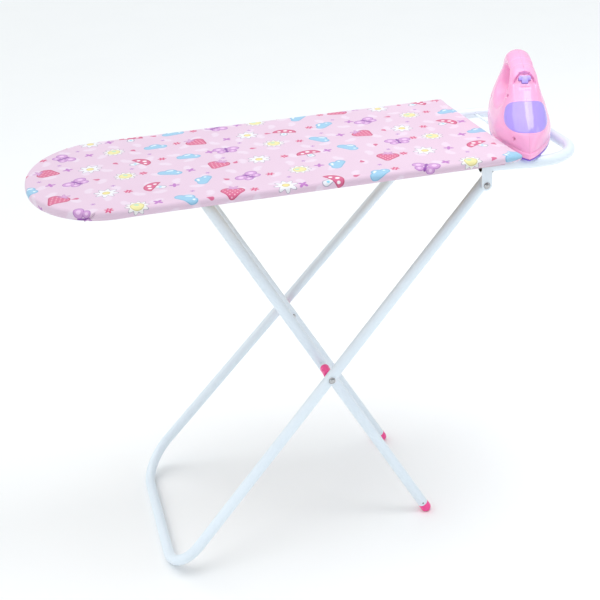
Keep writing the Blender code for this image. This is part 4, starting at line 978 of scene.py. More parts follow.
KROW = 64
HALF = half_outline()
T_ROW = [0.55 * t + 0.45 * math.sin(math.pi / 2 * t) for t in np.linspace(-1, 1, KROW + 1)]


def perimeter():
    """Whole outline, anticlockwise seen from above, from the nose's tip along the near side."""
    pts = [(x, -y, nx, -ny) for x, y, nx, ny in HALF]
    yc = BOARD_HALF - CORNER_R
    for t in T_ROW[1:-1]:
        pts.append((BOARD_X1, yc * t, 1.0, 0.0))
    pts += [p for p in HALF[:0:-1]]
    return pts


PER = perimeter()
NPER = len(PER)
PER_S = [0.0]
for i in range(1, NPER):
    PER_S.append(PER_S[-1] + math.hypot(PER[i][0] - PER[i - 1][0], PER[i][1] - PER[i - 1][1]))
DROP_IN = 0.0098
_i = min(range(len(HALF)), key=lambda i: abs(math.atan2(-PER[i][1] / BOARD_HALF, (PER[i][0] - XC) / NOSE_LEN) - math.radians(109.0)))
PLEAT_U, PLEAT_LEAN = PER_S[_i], -0.0105


def soft_drop(d):
    """How far the padded top has sunk at a distance d from the edge."""
    k = max(1 - d / DROP_IN, 0.0)
    return 0.0011 * k ** 1.8


def quilt(x, y):
    """Slow unevenness of the padded top, always downwards."""
    a = noise.noise(Vector((x * 11, y * 13, 0.3))) * 0.5 + noise.noise(Vector((x * 26, y * 30, 4.1))) * 0.22
    return -0.00042 * (0.55 + a)


def smooth01(t):
    t = min(max(t, 0.0), 1.0)
    return t * t * (3 - 2 * t)


DECK_T_STEPS = (0.0, 0.04, 0.09, 0.25, 0.5, 0.75, 0.91, 0.96, 1.0)
PLY_TOP = 0.5520


def corner_of(i):
    x, y, nx, ny = PER[i]
    return smooth01(1 - math.hypot(x - BOARD_X1, abs(y) - BOARD_HALF) / 0.034)


def draw_in(i, t):
    """How far the side is drawn in, most at the square corners, from 0 at the top to 1 at the hem."""
    t = min(max(t, 0.0), 1.0)
    return corner_of(i) * 0.0062 * t ** 1.4 + 0.0020 * PER[i][3] ** 2 * t * t


def ear(i, z):
    """How far the padded corner stands out past the board's square end, half way down its side."""
    x, y, nx, ny = PER[i]
    k = smooth01(1 - math.hypot((x - BOARD_X1) / 0.030, (abs(y) - BOARD_HALF) / 0.034))
    end = 0.0012 * max(nx, 0.0) ** 2 * smooth01((BOARD_HALF - abs(y)) / 0.02)
    low = (BOARD_TOP - 0.0046 - z) / (0.0052 if z > BOARD_TOP - 0.0046 else 0.0085)
    return (0.0042 * k ** 1.3 + end) * math.exp(-abs(low) ** 2.4)


def pleat(i, t):
    """A fold of the cloth at the near side of the nose, leaning towards it."""
    u = PER_S[i] - (PLEAT_U + PLEAT_LEAN * t)
    if not -0.012 < u < 0.016:
        return 0.0
    return (0.0026 * math.exp(-(u / 0.0011) ** 2) - 0.0012 * math.exp(-((u - 0.0026) / 0.0013) ** 2)
            + 0.0004 * math.exp(-((u - 0.0065) / 0.0030) ** 2)) * smooth01((t + 0.45) / 0.4)



def side_profile(i):
    """(inset, z) of the cloth's outer face at perimeter point i, from the top inwards edge down and under."""
    x, y, nx, ny = PER[i]
    u = PER_S[i]
    nose = smooth01((XC + 0.05 - x) / 0.14)
    square = smooth01((x - 0.12) / 0.12)
    corner = corner_of(i)
    wob = noise.noise(Vector((u * 14, 1.7, 0.0)))
    wob2 = noise.noise(Vector((u * 55, 7.7, 0.0)))
    side_r, side_f = max(nx, 0.0) ** 2, max(ny, 0.0) ** 2
    r = 0.0034 - 0.0017 * side_r - 0.0008 * side_f + 0.0006 * max(-ny, 0.0) ** 2
    sink = 1 - 0.75 * side_r - 0.45 * side_f
    out = []
    for ins in (0.0098, 0.0084, 0.0070, 0.0058, 0.0048, 0.0040):
        out.append((ins, BOARD_TOP - sink * soft_drop(ins)))
    for a in np.linspace(0, math.pi / 2, 9):
        ins = r - r * math.sin(a)
        f = pleat(i, -0.45 + 0.45 * a / 1.5708)
        out.append((ins - f * math.sin(a), BOARD_TOP - sink * soft_drop(ins) - r + r * math.cos(a) + f * math.cos(a) * 0.6))
    z0 = out[-1][1]
    zb = DECK_Z0 - 0.0011 + 0.0009 - 0.0019 * nose + 0.0008 * square + 0.0004 * wob
    rb = 0.0016
    for t in (0.12, 0.26, 0.40, 0.55, 0.70, 0.84, 0.94):
        bulge = 0.0005 * math.sin(math.pi * t) * (1 + 0.6 * wob)
        z = z0 + (zb + rb * 0.6 - z0) * t
        under = 0.0007 * t * t + draw_in(i, (PLY_TOP - z) / (PLY_TOP - 0.5425))
        out.append((-bulge + under + 0.00012 * wob2 * t - pleat(i, t), z))
    base = out[-1][0]
    up = corner * 0.0004
    for a in np.linspace(0.15, 1.0, 6):
        a = a * math.pi / 2
        out.append((base + rb * (1 - math.cos(a)), zb + up + rb * 0.6 * (1 - math.sin(a))))
    # turned in underneath, drawn together by the cord
    z_in = DECK_Z0 - 0.0011
    gather = 0.15 + 0.85 * max(nose, corner)
    base = out[-1][0]
    for t in (0.12, 0.25, 0.38, 0.52, 0.66, 0.80, 0.91, 1.0):
        ins = base + (HEM_IN + 0.0006 - base) * t
        fold = (math.sin(2 * math.pi * u / 0.0078 + 2.2 * wob) * 0.5 + 0.5) ** 1.4
        fold2 = 0.5 + 0.5 * math.sin(2 * math.pi * u / 0.0127 + 3.0 * wob)
        zz = zb + up + (z_in - zb - up) * t
        zz -= gather * (0.0009 * fold + 0.0004 * fold2) * math.sin(math.pi * min(t * 0.62, 1.0)) ** 0.8
        out.append((ins, zz))
    # round the cord and a little way back up
    out.append((HEM_IN + 0.0021, z_in - 0.0002))
    out.append((HEM_IN + 0.0030, z_in - 0.0010))
    out.append((HEM_IN + 0.0030, z_in - 0.0022))
    out.append((HEM_IN + 0.0020, z_in - 0.0029))
    out.append((HEM_IN + 0.0006, z_in - 0.0029))
    return out


def corner_scale(ins):
    return max(CORNER_R - ins, 0.0005) - CORNER_R


def inset_point(i, ins):
    """Perimeter point i drawn in by ins, with the corners kept from crossing."""
    x, y, nx, ny = PER[i]
    if x > BOARD_X1 - CORNER_R - 1e-6 and nx > 1e-6 and abs(ny) > 1e-6:
        cx, cy = BOARD_X1 - max(CORNER_R, ins + 0.0005), math.copysign(BOARD_HALF - max(CORNER_R, ins + 0.0005), y)
        r = max(CORNER_R - ins, 0.0005)
        return cx + r * nx, cy + r * ny
    x, y = x - nx * ins, y - ny * ins
    if ins > CORNER_R - 0.0005:
        lim = ins + 0.0005
        if nx > 0.999:
            k = (BOARD_HALF - lim) / (BOARD_HALF - CORNER_R)
            y = y * k
        elif abs(ny) > 0.999 and x > BOARD_X1 - 0.06:
            k = (BOARD_X1 - lim - (BOARD_X1 - 0.06)) / (0.06 - CORNER_R)
            x = BOARD_X1 - 0.06 + (x - (BOARD_X1 - 0.06)) * k
    return x, y


NFAN = max(i for i, p in enumerate(HALF) if p[0] <= XC + 1e-9)


def fill_top(verts, near, far, end_row, top_point, faces):
    """Fills the top inside a ring: a fan of rings over the nose, columns across the rest."""
    nh = len(HALF)
    half = KROW // 2
    fan = near[NFAN::-1] + far[1:NFAN + 1]
    prev = fan
    for r in range(KROW - 1, half, -1):
        t = T_ROW[r]
        if r == half:
            break
        cur = [top_point(XC + (verts[i][0] - XC) * t, verts[i][1] * t) for i in fan]
        for k in range(len(fan) - 1):
            faces.append((prev[k], prev[k + 1], cur[k + 1], cur[k]))
        if r == KROW - 1:
            columns = [[near[NFAN]], [far[NFAN]]]
        columns[0].append(cur[0])
        columns[1].append(cur[-1])
        prev = cur
    centre = top_point(XC, 0.0)
    for k in range(len(fan) - 1):
        faces.append((prev[k], prev[k + 1], centre))
    last = columns[0] + [centre] + columns[1][::-1]
    for c in range(NFAN + 1, nh):
        if c == nh - 1:
            cur = [near[c]] + end_row + [far[c]]
        else:
            x = (verts[near[c]][0] + verts[far[c]][0]) / 2
            cur = [near[c]] + [top_point(x, verts[far[c]][1] * t) for t in T_ROW[1:-1]] + [far[c]]
        for j in range(KROW):
            faces.append((last[j], cur[j], cur[j + 1], last[j + 1]))
        last = cur


def cover_mesh():
    verts, flat, faces = [], [], []
    profs = [side_profile(i) for i in range(NPER)]
    m = len(profs[0])
    rings = []
    for j in range(m):
        ring = []
        for i in range(NPER):
            ins, z = profs[i][j]
            x, y = inset_point(i, ins)
            if j < 15:
                z += quilt(x, y) * smooth01(1 - (j - 6) / 9)
            if 1 < j < 28:
                x += ear(i, z) * smooth01((j - 1) / 9)
            ring.append(len(verts))
            verts.append((x, y, z))
        rings.append(ring)
    # the flat sheet: distance along the cloth, outwards from the outline
    for i in range(NPER):
        x, y, nx, ny = PER[i]
        run = -profs[i][0][0]
        last = profs[i][0]
        for j in range(m):
            ins, z = profs[i][j]
            run += math.hypot(ins - last[0], z - last[1]) if j else 0.0
            last = (ins, z)
            verts_i = rings[j][i]
            while len(flat) <= verts_i:
                flat.append(None)
            flat[verts_i] = (x + nx * run, y + ny * run)
    for j in range(m - 1):
        for i in range(NPER):
            k = (i + 1) % NPER
            faces.append((rings[j][i], rings[j][k], rings[j + 1][k], rings[j + 1][i]))
    # interior: columns across the board between matching points of the innermost ring
    nh = len(HALF)
    near = rings[0][:nh]
    far = [rings[0][0]] + rings[0][:NPER - nh:-1]

    def top_point(x, y):
        verts.append((x, y, BOARD_TOP - soft_drop(edge_dist(x, y)) + quilt(x, y)))
        flat.append((x, y))
        return len(verts) - 1

    fill_top(verts, near, far, rings[0][nh:nh + KROW - 1], top_point, faces)
    return verts, flat, faces


def add_flat(name, verts, flat, faces, mat):
    """Mesh with the flat sheet's coordinates as its UV map."""
    bm = bmesh.new()
    layer = bm.verts.layers.float_vector.new("flat_xy")
    vs = []
    for p, q in zip(verts, flat):
        v = bm.verts.new((p[0] + SHIFT, p[1], p[2]))
        v[layer] = (q[0], q[1], 0.0)
        vs.append(v)
    for f in faces:
        if len(set(f)) == len(f):
            bm.faces.new([vs[i] for i in f])
    bmesh.ops.recalc_face_normals(bm, faces=bm.faces)
    uvl = bm.loops.layers.uv.new("flat")
    for f in bm.faces:
        for lp in f.loops:
            q = lp.vert[layer]
            lp[uvl].uv = (q[0], q[1])
    me = bpy.data.meshes.new(name)
    bm.to_mesh(me)
    bm.free()
    ob = bpy.data.objects.new(name, me)
    col.objects.link(ob)
    me.shade_smooth()
    me.materials.append(MAT[mat])
    return ob


cv, cf, cfaces = cover_mesh()
cover = add_flat("printed_cover", cv, cf, cfaces, "cloth")


def solid_sheet(ob, t):
    m = ob.modifiers.new("cloth_thickness", "SOLIDIFY")
    m.thickness, m.offset = t, -1.0
    m.use_even_offset = False
    bake_modifiers(ob)
    ob.data.shade_smooth()
    return ob


# normals out, so that the thickness goes inwards
top_face = max(cover.data.polygons, key=lambda f: f.center.z)
if top_face.normal.z < 0:
    cover.data.flip_normals()
solid_sheet(cover, 0.0006)
finish_piece(cover, "board", "cover", "cover_fabric")

# foam pad under the cloth
pad_v, pad_f = [], []
pad_rings = []
for ins, z in ((0.0024, PAD_Z0), (0.0016, PAD_Z0 + 0.0005), (0.0018, PAD_Z0 + 0.0011), (0.0028, PAD_Z0 + 0.0016), (0.0060, PAD_Z0 + 0.0019), (0.0095, PAD_Z0 + 0.0021)):
    ring = []
    for i in range(NPER):
        x, y = inset_point(i, ins)
        ring.append(len(pad_v))
        pad_v.append((x, y, z))
    pad_rings.append(ring)
for j in range(len(pad_rings) - 1):
    for i in range(NPER):
        k = (i + 1) % NPER
        pad_f.append((pad_rings[j][i], pad_rings[j][k], pad_rings[j + 1][k], pad_rings[j + 1][i]))
pad_f.append(tuple(pad_rings[0]))
nh = len(HALF)
near, far = pad_rings[-1][:nh], [pad_rings[-1][0]] + pad_rings[-1][:NPER - nh:-1]


def pad_point(x, y):
    pad_v.append((x, y, PAD_Z0 + 0.0021 + 0.0004 * smooth01((edge_dist(x, y) - 0.0095) / 0.02)))
    return len(pad_v) - 1


fill_top(pad_v, near, far, pad_rings[-1][nh:nh + KROW - 1], pad_point, pad_f)
pad = add("foam_pad_fine", pad_v, pad_f, "foam", 60.0, weld=5e-5)
finish_piece(pad, "board", "foam", "foam_pad")

# drawcord in the hem: two strands twisted together
cord_z = DECK_Z0 - 0.0028
path = []
acc = 0.0
loop = [Vector((*inset_point(i, HEM_IN + 0.0014), cord_z)) for i in range(NPER)]
clean = [loop[0]]
for p in loop[1:]:
    if (p - clean[-1]).length > 0.0012:
        clean.append(p)
total = sum((clean[(i + 1) % len(clean)] - clean[i]).length for i in range(len(clean)))
ncord = int(total / 0.00075)
dist_at = [0.0]
for i in range(len(clean)):
    dist_at.append(dist_at[-1] + (clean[(i + 1) % len(clean)] - clean[i]).length)
cum = np.array(dist_at)
cx = np.array([p.x for p in clean] + [clean[0].x])
cy = np.array([p.y for p in clean] + [clean[0].y])
ss = np.linspace(0, cum[-1], ncord, endpoint=False)
px, py = np.interp(ss, cum, cx), np.interp(ss, cum, cy)
cord_v, cord_f = [], []
turns = round(cum[-1] / 0.0042)
for q in range(ncord):
    a = Vector((px[q - 1], py[q - 1], 0))
    b = Vector((px[(q + 1) % ncord], py[(q + 1) % ncord], 0))
    t = (b - a).normalized()
    nrm = Vector((-t.y, t.x, 0))
    phase = 2 * math.pi * turns * ss[q] / cum[-1]
    for k in range(10):
        ang = 2 * math.pi * k / 10
        r = 0.00062 + 0.00028 * abs(math.cos(ang - phase / 2))
        cord_v.append(Vector((px[q], py[q], cord_z)) + nrm * (r * math.cos(ang)) + Vector((0, 0, r * math.sin(ang))))
for q in range(ncord):
    q2 = (q + 1) % ncord
    for k in range(10):
        k2 = (k + 1) % 10
        cord_f.append((q * 10 + k, q * 10 + k2, q2 * 10 + k2, q2 * 10 + k))
cord = add("drawcord", cord_v, cord_f, "cord", 60.0, weld=0)
finish_piece(cord, "board", "cord", "hem_cord")

# ------------------------------------------------------------------ toy iron
SIN, COS = math.sin(IRON_TURN), math.cos(IRON_TURN)


def tip_sink(s, h):
    """How far the front point dips towards the sole's underside, which stays flat."""
    f = h / 0.0036 if h < 0.0036 else 1 - smooth01((h - 0.012) / 0.026)
    return 0.0017 * smooth01(1 - s / 0.034) * max(f, 0.0)


def iron(s, w, h):
    h -= tip_sink(s, h)
    return Vector((IRON_TIP[0] + s * SIN + w * COS, IRON_TIP[1] + s * COS - w * SIN, IRON_Z + h))


def iron_mm(s, w, h):
    return iron(s / 1000, w / 1000, h / 1000)


def curve(table, x):
    """Cubic through the table, for arrays."""
    t = np.array(table, float)
    xs, ys = t[:, 0], t[:, 1]
    x = np.asarray(x, float)
    n = len(xs)
    sl = np.empty(n)
    sl[0] = (ys[1] - ys[0]) / (xs[1] - xs[0])
    sl[-1] = (ys[-1] - ys[-2]) / (xs[-1] - xs[-2])
    sl[1:-1] = (ys[2:] - ys[:-2]) / (xs[2:] - xs[:-2])
    i = np.clip(np.searchsorted(xs, x, side="left") - 1, 0, n - 2)
    h = xs[i + 1] - xs[i]
    u = (x - xs[i]) / h
    y = ((2 * u ** 3 - 3 * u * u + 1) * ys[i] + (u ** 3 - 2 * u * u + u) * h * sl[i]
         + (-2 * u ** 3 + 3 * u * u) * ys[i + 1] + (u ** 3 - u * u) * h * sl[i + 1])
    return np.where(x <= xs[0], ys[0], np.where(x > xs[-1], ys[-1], y))


def heel(s):
    return 1 - 0.065 * (np.maximum(np.asarray(s, float) - 125, 0) / 60.0) ** 1.6


def plan_half(s):
    L = IRON_L * 1000
    s = np.clip(np.asarray(s, float), 0, L)
    w = 41.0 * np.where(s < 120, np.abs(1 - (1 - s / 120.0) ** 2) ** 0.78, 1.0) * heel(s)
    r = 24.0
    k = np.clip((s - (L - r)) / r, 0, 1)
    return w * (1 - k ** 2.6) ** (1 / 2.6)


FRONT = [(12, 3.5), (18, 6), (27, 11), (36, 18), (45.5, 28), (54.5, 40), (64, 53), (72.5, 64), (79, 72),
         (83.5, 78), (90, 84), (96, 90), (200, 90)]
TOPLINE = [(86, 91), (90, 94.6), (94, 97), (100, 99), (115, 101.8), (135, 104.2), (155, 105.8), (168, 105.9),
           (180, 103.6), (189, 97.8)]
REAR = [(12, 204.0), (40, 203.0), (64, 200.5), (80, 197.5), (92, 193.5), (99, 189.0), (104, 184.0)]
WIDE_F = [(0, 41), (12, 40.5), (25, 38), (45, 31.6), (58, 26.8), (70, 22.8), (80, 20), (90, 18), (100, 16.5), (110, 15)]
WIDE_R = [(0, 41), (12, 40.5), (25, 39.2), (36, 37.0), (48, 33.4), (62, 27.5), (77, 21.2), (92, 18.2), (100, 17.6), (110, 17.0)]


def wide(s, h):
    t = np.clip((s - 90) / 60.0, 0, 1)
    t = t * t * (3 - 2 * t)
    return curve(WIDE_F, h) * (1 - t) + curve(WIDE_R, h) * t


def rounded(d, r, p=2.0):
    k = np.clip(np.asarray(d, float) / r, 0, 1)
    return (1 - (1 - k) ** p) ** (1 / p)


HOLE_C = (128.5, 68.5)


def hole_pts(dx, dy):
    """The finger opening's edge in the direction (dx, dy) from its middle."""
    x, y = (dx - 0.22 * dy) / 0.989, (dy - 0.05 * dx) / 0.989
    k = (np.abs(x / 31.0) ** 3 + np.abs(y / 18.5) ** 3) ** (-1 / 3)
    x, y = x * k, y * k
    return HOLE_C[0] + x + 0.22 * y, HOLE_C[1] + y + 0.05 * x


_a = np.linspace(0, 2 * math.pi, 361)
HX, HY = hole_pts(np.cos(_a), np.sin(_a))


def hole_dist(s, h):
    """Distance to the finger opening's edge."""
    s, h = np.asarray(s, float), np.asarray(h, float)
    shape = s.shape
    s, h = s.ravel(), h.ravel()
    out = np.empty(len(s))
    ax, ay, bx_, by_ = HX[:-1], HY[:-1], HX[1:], HY[1:]
    dx, dy = bx_ - ax, by_ - ay
    L2 = dx * dx + dy * dy
    for i in range(0, len(s), 4000):
        ps, ph = s[i:i + 4000, None], h[i:i + 4000, None]
        t = np.clip(((ps - ax) * dx + (ph - ay) * dy) / L2, 0, 1)
        out[i:i + 4000] = np.hypot(ps - ax - t * dx, ph - ay - t * dy).min(1)
    return out.reshape(shape)


def front_shape(s, h):
    f = np.where(h < 96, curve(FRONT, h), 90.0)
    run = s - f
    k = np.clip((h - 12) / 75.0, 0, 1)
    r = 98 * (1 - k) ** 1.15 + 18
    e = 0.78 - 0.28 * np.minimum(k * 4.0, 1)
    q = np.clip(run / r, 0, 1)
    return (1 - (1 - q) ** 2) ** e


def body_half(s, h, holed=True):
    s, h = np.asarray(s, float), np.asarray(h, float)
    top_ = np.where(s > 86, curve(TOPLINE, s), 200.0)
    w = wide(s, h) * heel(s) * front_shape(s, h) * rounded(top_ - h, 15.0, 2.2) * rounded(curve(REAR, h) - s, 22.0, 2.6)
    if holed:
        w = w * rounded(hole_dist(s, h), 11.0, 2.2)
    return w


# the button's own axes: along the slope, sideways and out
BTN_C = (81.6, 86.0)
BN = (-math.sin(math.radians(52)), math.cos(math.radians(52)))
BT = (BN[1], -BN[0])


def btn(a, w, d):
    return iron_mm(BTN_C[0] + BT[0] * a + BN[0] * d, w, BTN_C[1] + BT[1] * a + BN[1] * d)


def hood_line(w):
    """Where the hood's lip runs, up the slope from the button's middle."""
    return 12.6 - 12.0 * (np.abs(w) / 14.2) ** 2.5


def surface_detail(s, w, h):
    """Hood lip, thumb recess, grip steps: moves points of the outer face. Millimetres."""
    a = (s - BTN_C[0]) * BT[0] + (h - BTN_C[1]) * BT[1]
    d = (s - BTN_C[0]) * BN[0] + (h - BTN_C[1]) * BN[1]
    aw = np.abs(w)
    near = np.clip((d + 17) / 6, 0, 1) * (s < 118)
    g = (a - hood_line(w)) / np.sqrt(1 + (12.0 * 2.5 / 14.2 * (aw / 14.2) ** 1.5) ** 2)
    cove = np.clip((g + 1.7) / 1.7, 0, 1)
    side_fade = np.clip(1 - (aw / 15.6) ** 8, 0, 1)
    lip = (2.7 * np.exp(-np.clip(g, 0, None) / 12.0) * cove) * side_fade
    deep = 1 + 0.5 * np.exp(-(np.clip(-g - 1.7, 0, None) / 2.6) ** 2)
    hollow = -1.7 * deep * np.exp(-(np.clip(-g - 4.2, 0, None) / 8.0) ** 2) * (1 - cove) * np.clip(1 - (aw / 15.2) ** 8, 0, 1)
    pocket = -1.3 * np.exp(-((a + 12.6) / 3.0) ** 4) * np.exp(-(w / 7.6) ** 6)
    out = (lip + hollow + pocket) * near
    s2, h2 = s + BN[0] * out, h + BN[1] * out
    # steps across the grip
    grip = np.clip((h - 92) / 4, 0, 1)
    for c in (112.0, 133.0):
        k = np.clip((s - c) / 1.6 + 0.5, 0, 1)
        k = k * k * (3 - 2 * k)
        h2 = h2 - 0.75 * k * np.exp(-np.clip(s - c, 0, None) / 7.0) * grip
        h2 = h2 + 0.55 * np.exp(-((s - c + 1.3) / 0.8) ** 2) * grip
        w = w * (1 - 0.035 * k * np.exp(-np.clip(s - c, 0, None) / 6.0) * np.clip((h - 86) / 6, 0, 1))
    return s2, w, h2


def side_outline():
    """Boundary of the iron's side view, from the tip over the top and back along the floor."""
    pts = []
    for h in np.concatenate([np.linspace(12, 74, 92), np.linspace(74, 93, 58)[1:]]):
        pts.append((float(curve(FRONT, h)), h, False))
    for s in np.concatenate([np.linspace(90, 138, 124), np.linspace(138, 184.5, 52)[1:]]):
        pts.append((s, float(curve(TOPLINE, s)), False))
    for h in np.linspace(99.0, 12, 84):
        pts.append((float(curve(REAR, h)), h, False))
    for s in np.concatenate([np.linspace(202.5, 30, 120), np.linspace(28.8, 4.6, 26)]):
        pts.append((s, 12.0, True))
    return pts


SEAM, WALL = 0.06, 2.2
OUTLINE = side_outline()
OS = np.array([p[0] for p in OUTLINE])
OH = np.array([p[1] for p in OUTLINE])
OFLAT = np.array([p[2] for p in OUTLINE])
_L = np.hypot(HOLE_C[0] - OS, HOLE_C[1] - OH)
IS_, IH_ = hole_pts((OS - HOLE_C[0]) / _L, (OH - HOLE_C[1]) / _L)
_t = np.linspace(0, 1, 84)
V_OUT = _t ** 2.2 / (_t ** 2.2 + (1 - _t) ** 2.2)
_t = np.linspace(0, 1, 15)
V_IN = _t ** 1.6 / (_t ** 1.6 + (1 - _t) ** 1.6)


def iron_half(name, sgn):
    rings = []       # arrays of (s, w, h)
    rings.append(surface_detail(OS, np.full(len(OS), SEAM), OH))
    for v in V_OUT:
        a, b = OS + (IS_ - OS) * v, OH + (IH_ - OH) * v
        w = body_half(a, b)
        if v == 0.0:
            w = np.where(OFLAT, body_half(a, np.full(len(a), 12.02)), 0.0)
        if v == 1.0:
            w = np.zeros(len(a))
        w = np.maximum(w, SEAM)
        rings.append(surface_detail(a, w, b))
    inner_rings = []
    D = np.hypot(IS_ - OS, IH_ - OH)
    v0, v1 = WALL * 1.15 / D, 1 - WALL * 1.15 / D
    v0 = np.where(OFLAT, np.minimum(WALL / np.maximum(IH_ - 12.0, 1e-6), 0.4), v0)
    for j, v in enumerate(V_IN):
        t = v0 + (v1 - v0) * v
        a, b = OS + (IS_ - OS) * t, OH + (IH_ - OH) * t
        w = np.maximum(body_half(a, b) - WALL - 0.6, 0.35)
        low = (a, np.full(len(a), SEAM), b)
        if j == 0:
            inner_rings += [low, (a, w, b)]
        elif j == len(V_IN) - 1:
            inner_rings += [(a, w, b), low]
        else:
            inner_rings.append((a, w, b))
    loop_ = rings + inner_rings[::-1]
    m, n = len(loop_), len(OS)
    verts = []
    for s, w, h in loop_:
        for i in range(n):
            verts.append(iron_mm(s[i], sgn * w[i], h[i]))
    faces = []
    for k in range(m):
        a, b = k * n, ((k + 1) % m) * n
        for i in range(n):
            j = (i + 1) % n
            faces.append((a + i, a + j, b + j, b + i))
    return add(name, verts, faces, "iron", 40.0, weld=1e-5)


def t_shape(grow):
    """Outline of the button: a wide bar with a narrower tongue below, with round corners."""
    g = grow
    pts = [(5.6 + g, 8.0 + g, 2.6 + g), (-0.6 - g, 8.0 + g, 2.0 + g), (-0.6 - g, 4.3 + g, max(0.9 - g, 0.1)), (-5.6 - g, 4.3 + g, 1.6 + g)]
    pts = pts + [(a, -w, r) for a, w, r in pts[::-1]]
    out = []
    m = len(pts)
    for i in range(m):
        a, b, c = Vector(pts[i - 1][:2]), Vector(pts[i][:2]), Vector(pts[(i + 1) % m][:2])
        r = pts[i][2]
        s, e = b + (a - b).normalized() * r, b + (c - b).normalized() * r
        for k in range(9):
            t = k / 8
            q = s * (1 - t) ** 2 + b * 2 * t * (1 - t) + e * t * t
            out.append((q.x, q.y))
    return out


def btn_prism(levels):
    """Levels are (outline, depth) or (outline, depth, dome)."""
    verts, faces = [], []
    n = len(levels[0][0])
    for poly, d in levels:
        verts += [btn(a, w, d) for a, w in poly]
    for k in range(len(levels) - 1):
        for i in range(n):
            j = (i + 1) % n
            faces.append((k * n + i, k * n + j, (k + 1) * n + j, (k + 1) * n + i))
    faces.append(tuple(range(n)))
    m = (len(levels) - 1) * n
    faces.append(tuple(m + i for i in range(n)))
    return verts, faces


SHELL_SCREWS = (("front", 25.0, 24.0), ("middle", 80.0, 65.5), ("rear", 176.0, 40.0))
OUT = Vector((-COS, SIN, 0.0))
shells = {}
for sgn, side_name in ((-1, "right"), (1, "left")):
    sh = iron_half("iron_shell_%s_fine" % side_name, sgn)
    parts = [btn_prism([(t_shape(0.4), 14.0), (t_shape(0.4), -9.0)])]
    if sgn < 0:
        for tag, s, h in SHELL_SCREWS:
            w = float(body_half(s, h))
            head = w - 3.4
            far_ = w + 6
            parts.append(rod(iron_mm(s, -far_, h), iron_mm(s, -(head + 0.2), h), 0.0026, 28))
    cut(sh, *parts, angle=40.0, solver="MANIFOLD")
    finish_piece(sh, "iron", "iron_pink", "iron_shell_" + side_name)
    shells[side_name] = sh

for tag, s, h in SHELL_SCREWS:
    head = float(body_half(s, h)) - 3.4
    k = 1000.0
    prof = arc_profile([(-0.0060, 0), (-0.0060, 0.0011), (head / k, 0.0011), (head / k, 0.0024, 0.0002),
                        (head / k + 0.0009, 0.0023, 0.0005), (head / k + 0.0015, 0.0012, 0.0004), (head / k + 0.0015, 0)])
    sc = add("shell_screw_%s_fine" % tag, *turned(prof, iron_mm(s, 0, h), OUT, 32), "shell_screw")
    # cross recess, turned with the iron
    c0 = iron_mm(s, -(head + 0.75), h)
    tx = Vector((SIN, COS, 0.0))
    recess = []
    for da, dz in ((0.0013, 0.00032), (0.00032, 0.0013)):
        v, f = box(-1, 1, -1, 1, -1, 1)
        v = [c0 + tx * (p[0] * da) + Vector((0, 0, 1)) * (p[2] * dz) + OUT * (p[1] * 0.0009 + 0.0004) for p in v]
        recess.append((v, f))
    cut(sc, *recess)
    finish_piece(sc, "iron", "screw_steel", "shell_screw_" + tag)


def plan_ring(shrink, n=150):
    """Outline of the sole drawn in by a distance, with an even number of points."""
    L = IRON_L * 1000
    s = np.concatenate([np.linspace(0, 1, 160) ** 2.2 * 100, np.linspace(100, 180, 120)[1:], 180 + 25 * np.sin(np.linspace(0, math.pi / 2, 200)[1:])])
    w = plan_half(s)
    ds, dw = np.gradient(s), np.gradient(w)
    q = np.hypot(ds, dw)
    so, wo = s + shrink * dw / q, w - shrink * ds / q
    keep = wo > 0.02
    so, wo = so[keep], wo[keep]
    order = [0]
    for i in range(1, len(so)):
        if not (so[i] < so[order[-1]] and so[i] < L * 0.5):
            order.append(i)
    so, wo = so[order], wo[order]
    so = np.concatenate([[so[0] - wo[0] * 0.35], so, [so[-1]]])
    wo = np.concatenate([[0.0], wo, [0.0]])
    arc = np.concatenate([[0], np.cumsum(np.hypot(np.diff(so), np.diff(wo)))])
    t = np.linspace(0, 1, n)
    t = (t ** 1.5) * 0.5 + t * 0.5
    ps, pw = np.interp(t * arc[-1], arc, so), np.interp(t * arc[-1], arc, wo)
    pts = list(zip(ps, pw))
    return pts + [(a, -b) for a, b in pts[-2:0:-1]]


def plate(name, levels, mat):
    verts, faces = [], []
    for shrink, h in levels:
        pl = plan_ring(shrink)
        n = len(pl)
        verts += [iron_mm(s, w, h) for s, w in pl]
    for k in range(len(levels) - 1):
        a, b = k * n, (k + 1) * n
        for i in range(n):
            j = (i + 1) % n
            faces.append((a + i, a + j, b + j, b + i))
    m = (len(levels) - 1) * n
    # caps as strips across, so that they stay clean
    for base in (0, m):
        half_n = n // 2
        for i in range(half_n):
            a, b = base + i, base + i + 1
            c, d = base + (n - i - 1) % n, base + (n - i) % n
            faces.append((a, b, c, d))
    return add(name, verts, faces, mat, 40.0, weld=1e-6)


sole = plate("iron_soleplate_fine", [(2.4, 0.0), (1.9, 0.25), (1.5, 0.8), (1.25, 1.5), (1.2, 2.2), (1.2, 3.3), (1.35, 3.6)], "violet")
finish_piece(sole, "iron", "sole_violet", "iron_soleplate")
skirt = plate("iron_skirt_fine", [(1.9, 3.9), (1.3, 4.2), (0.95, 4.9), (0.7, 6.3), (0.6, 8.0), (0.7, 9.6), (0.95, 10.8), (1.3, 11.4), (1.8, 11.7)], "iron")
finish_piece(skirt, "iron", "iron_pink", "iron_skirt")

# button
b_levels = [(t_shape(-0.9), 3.7), (t_shape(-0.45), 3.55), (t_shape(-0.12), 3.2), (t_shape(0.0), 2.6), (t_shape(0.0), -5.0)]
b_levels = [(poly, d if d < 2.0 else d - 0.9) for poly, d in b_levels]
button = add("steam_button_fine", *btn_prism(b_levels), "button", 40.0)


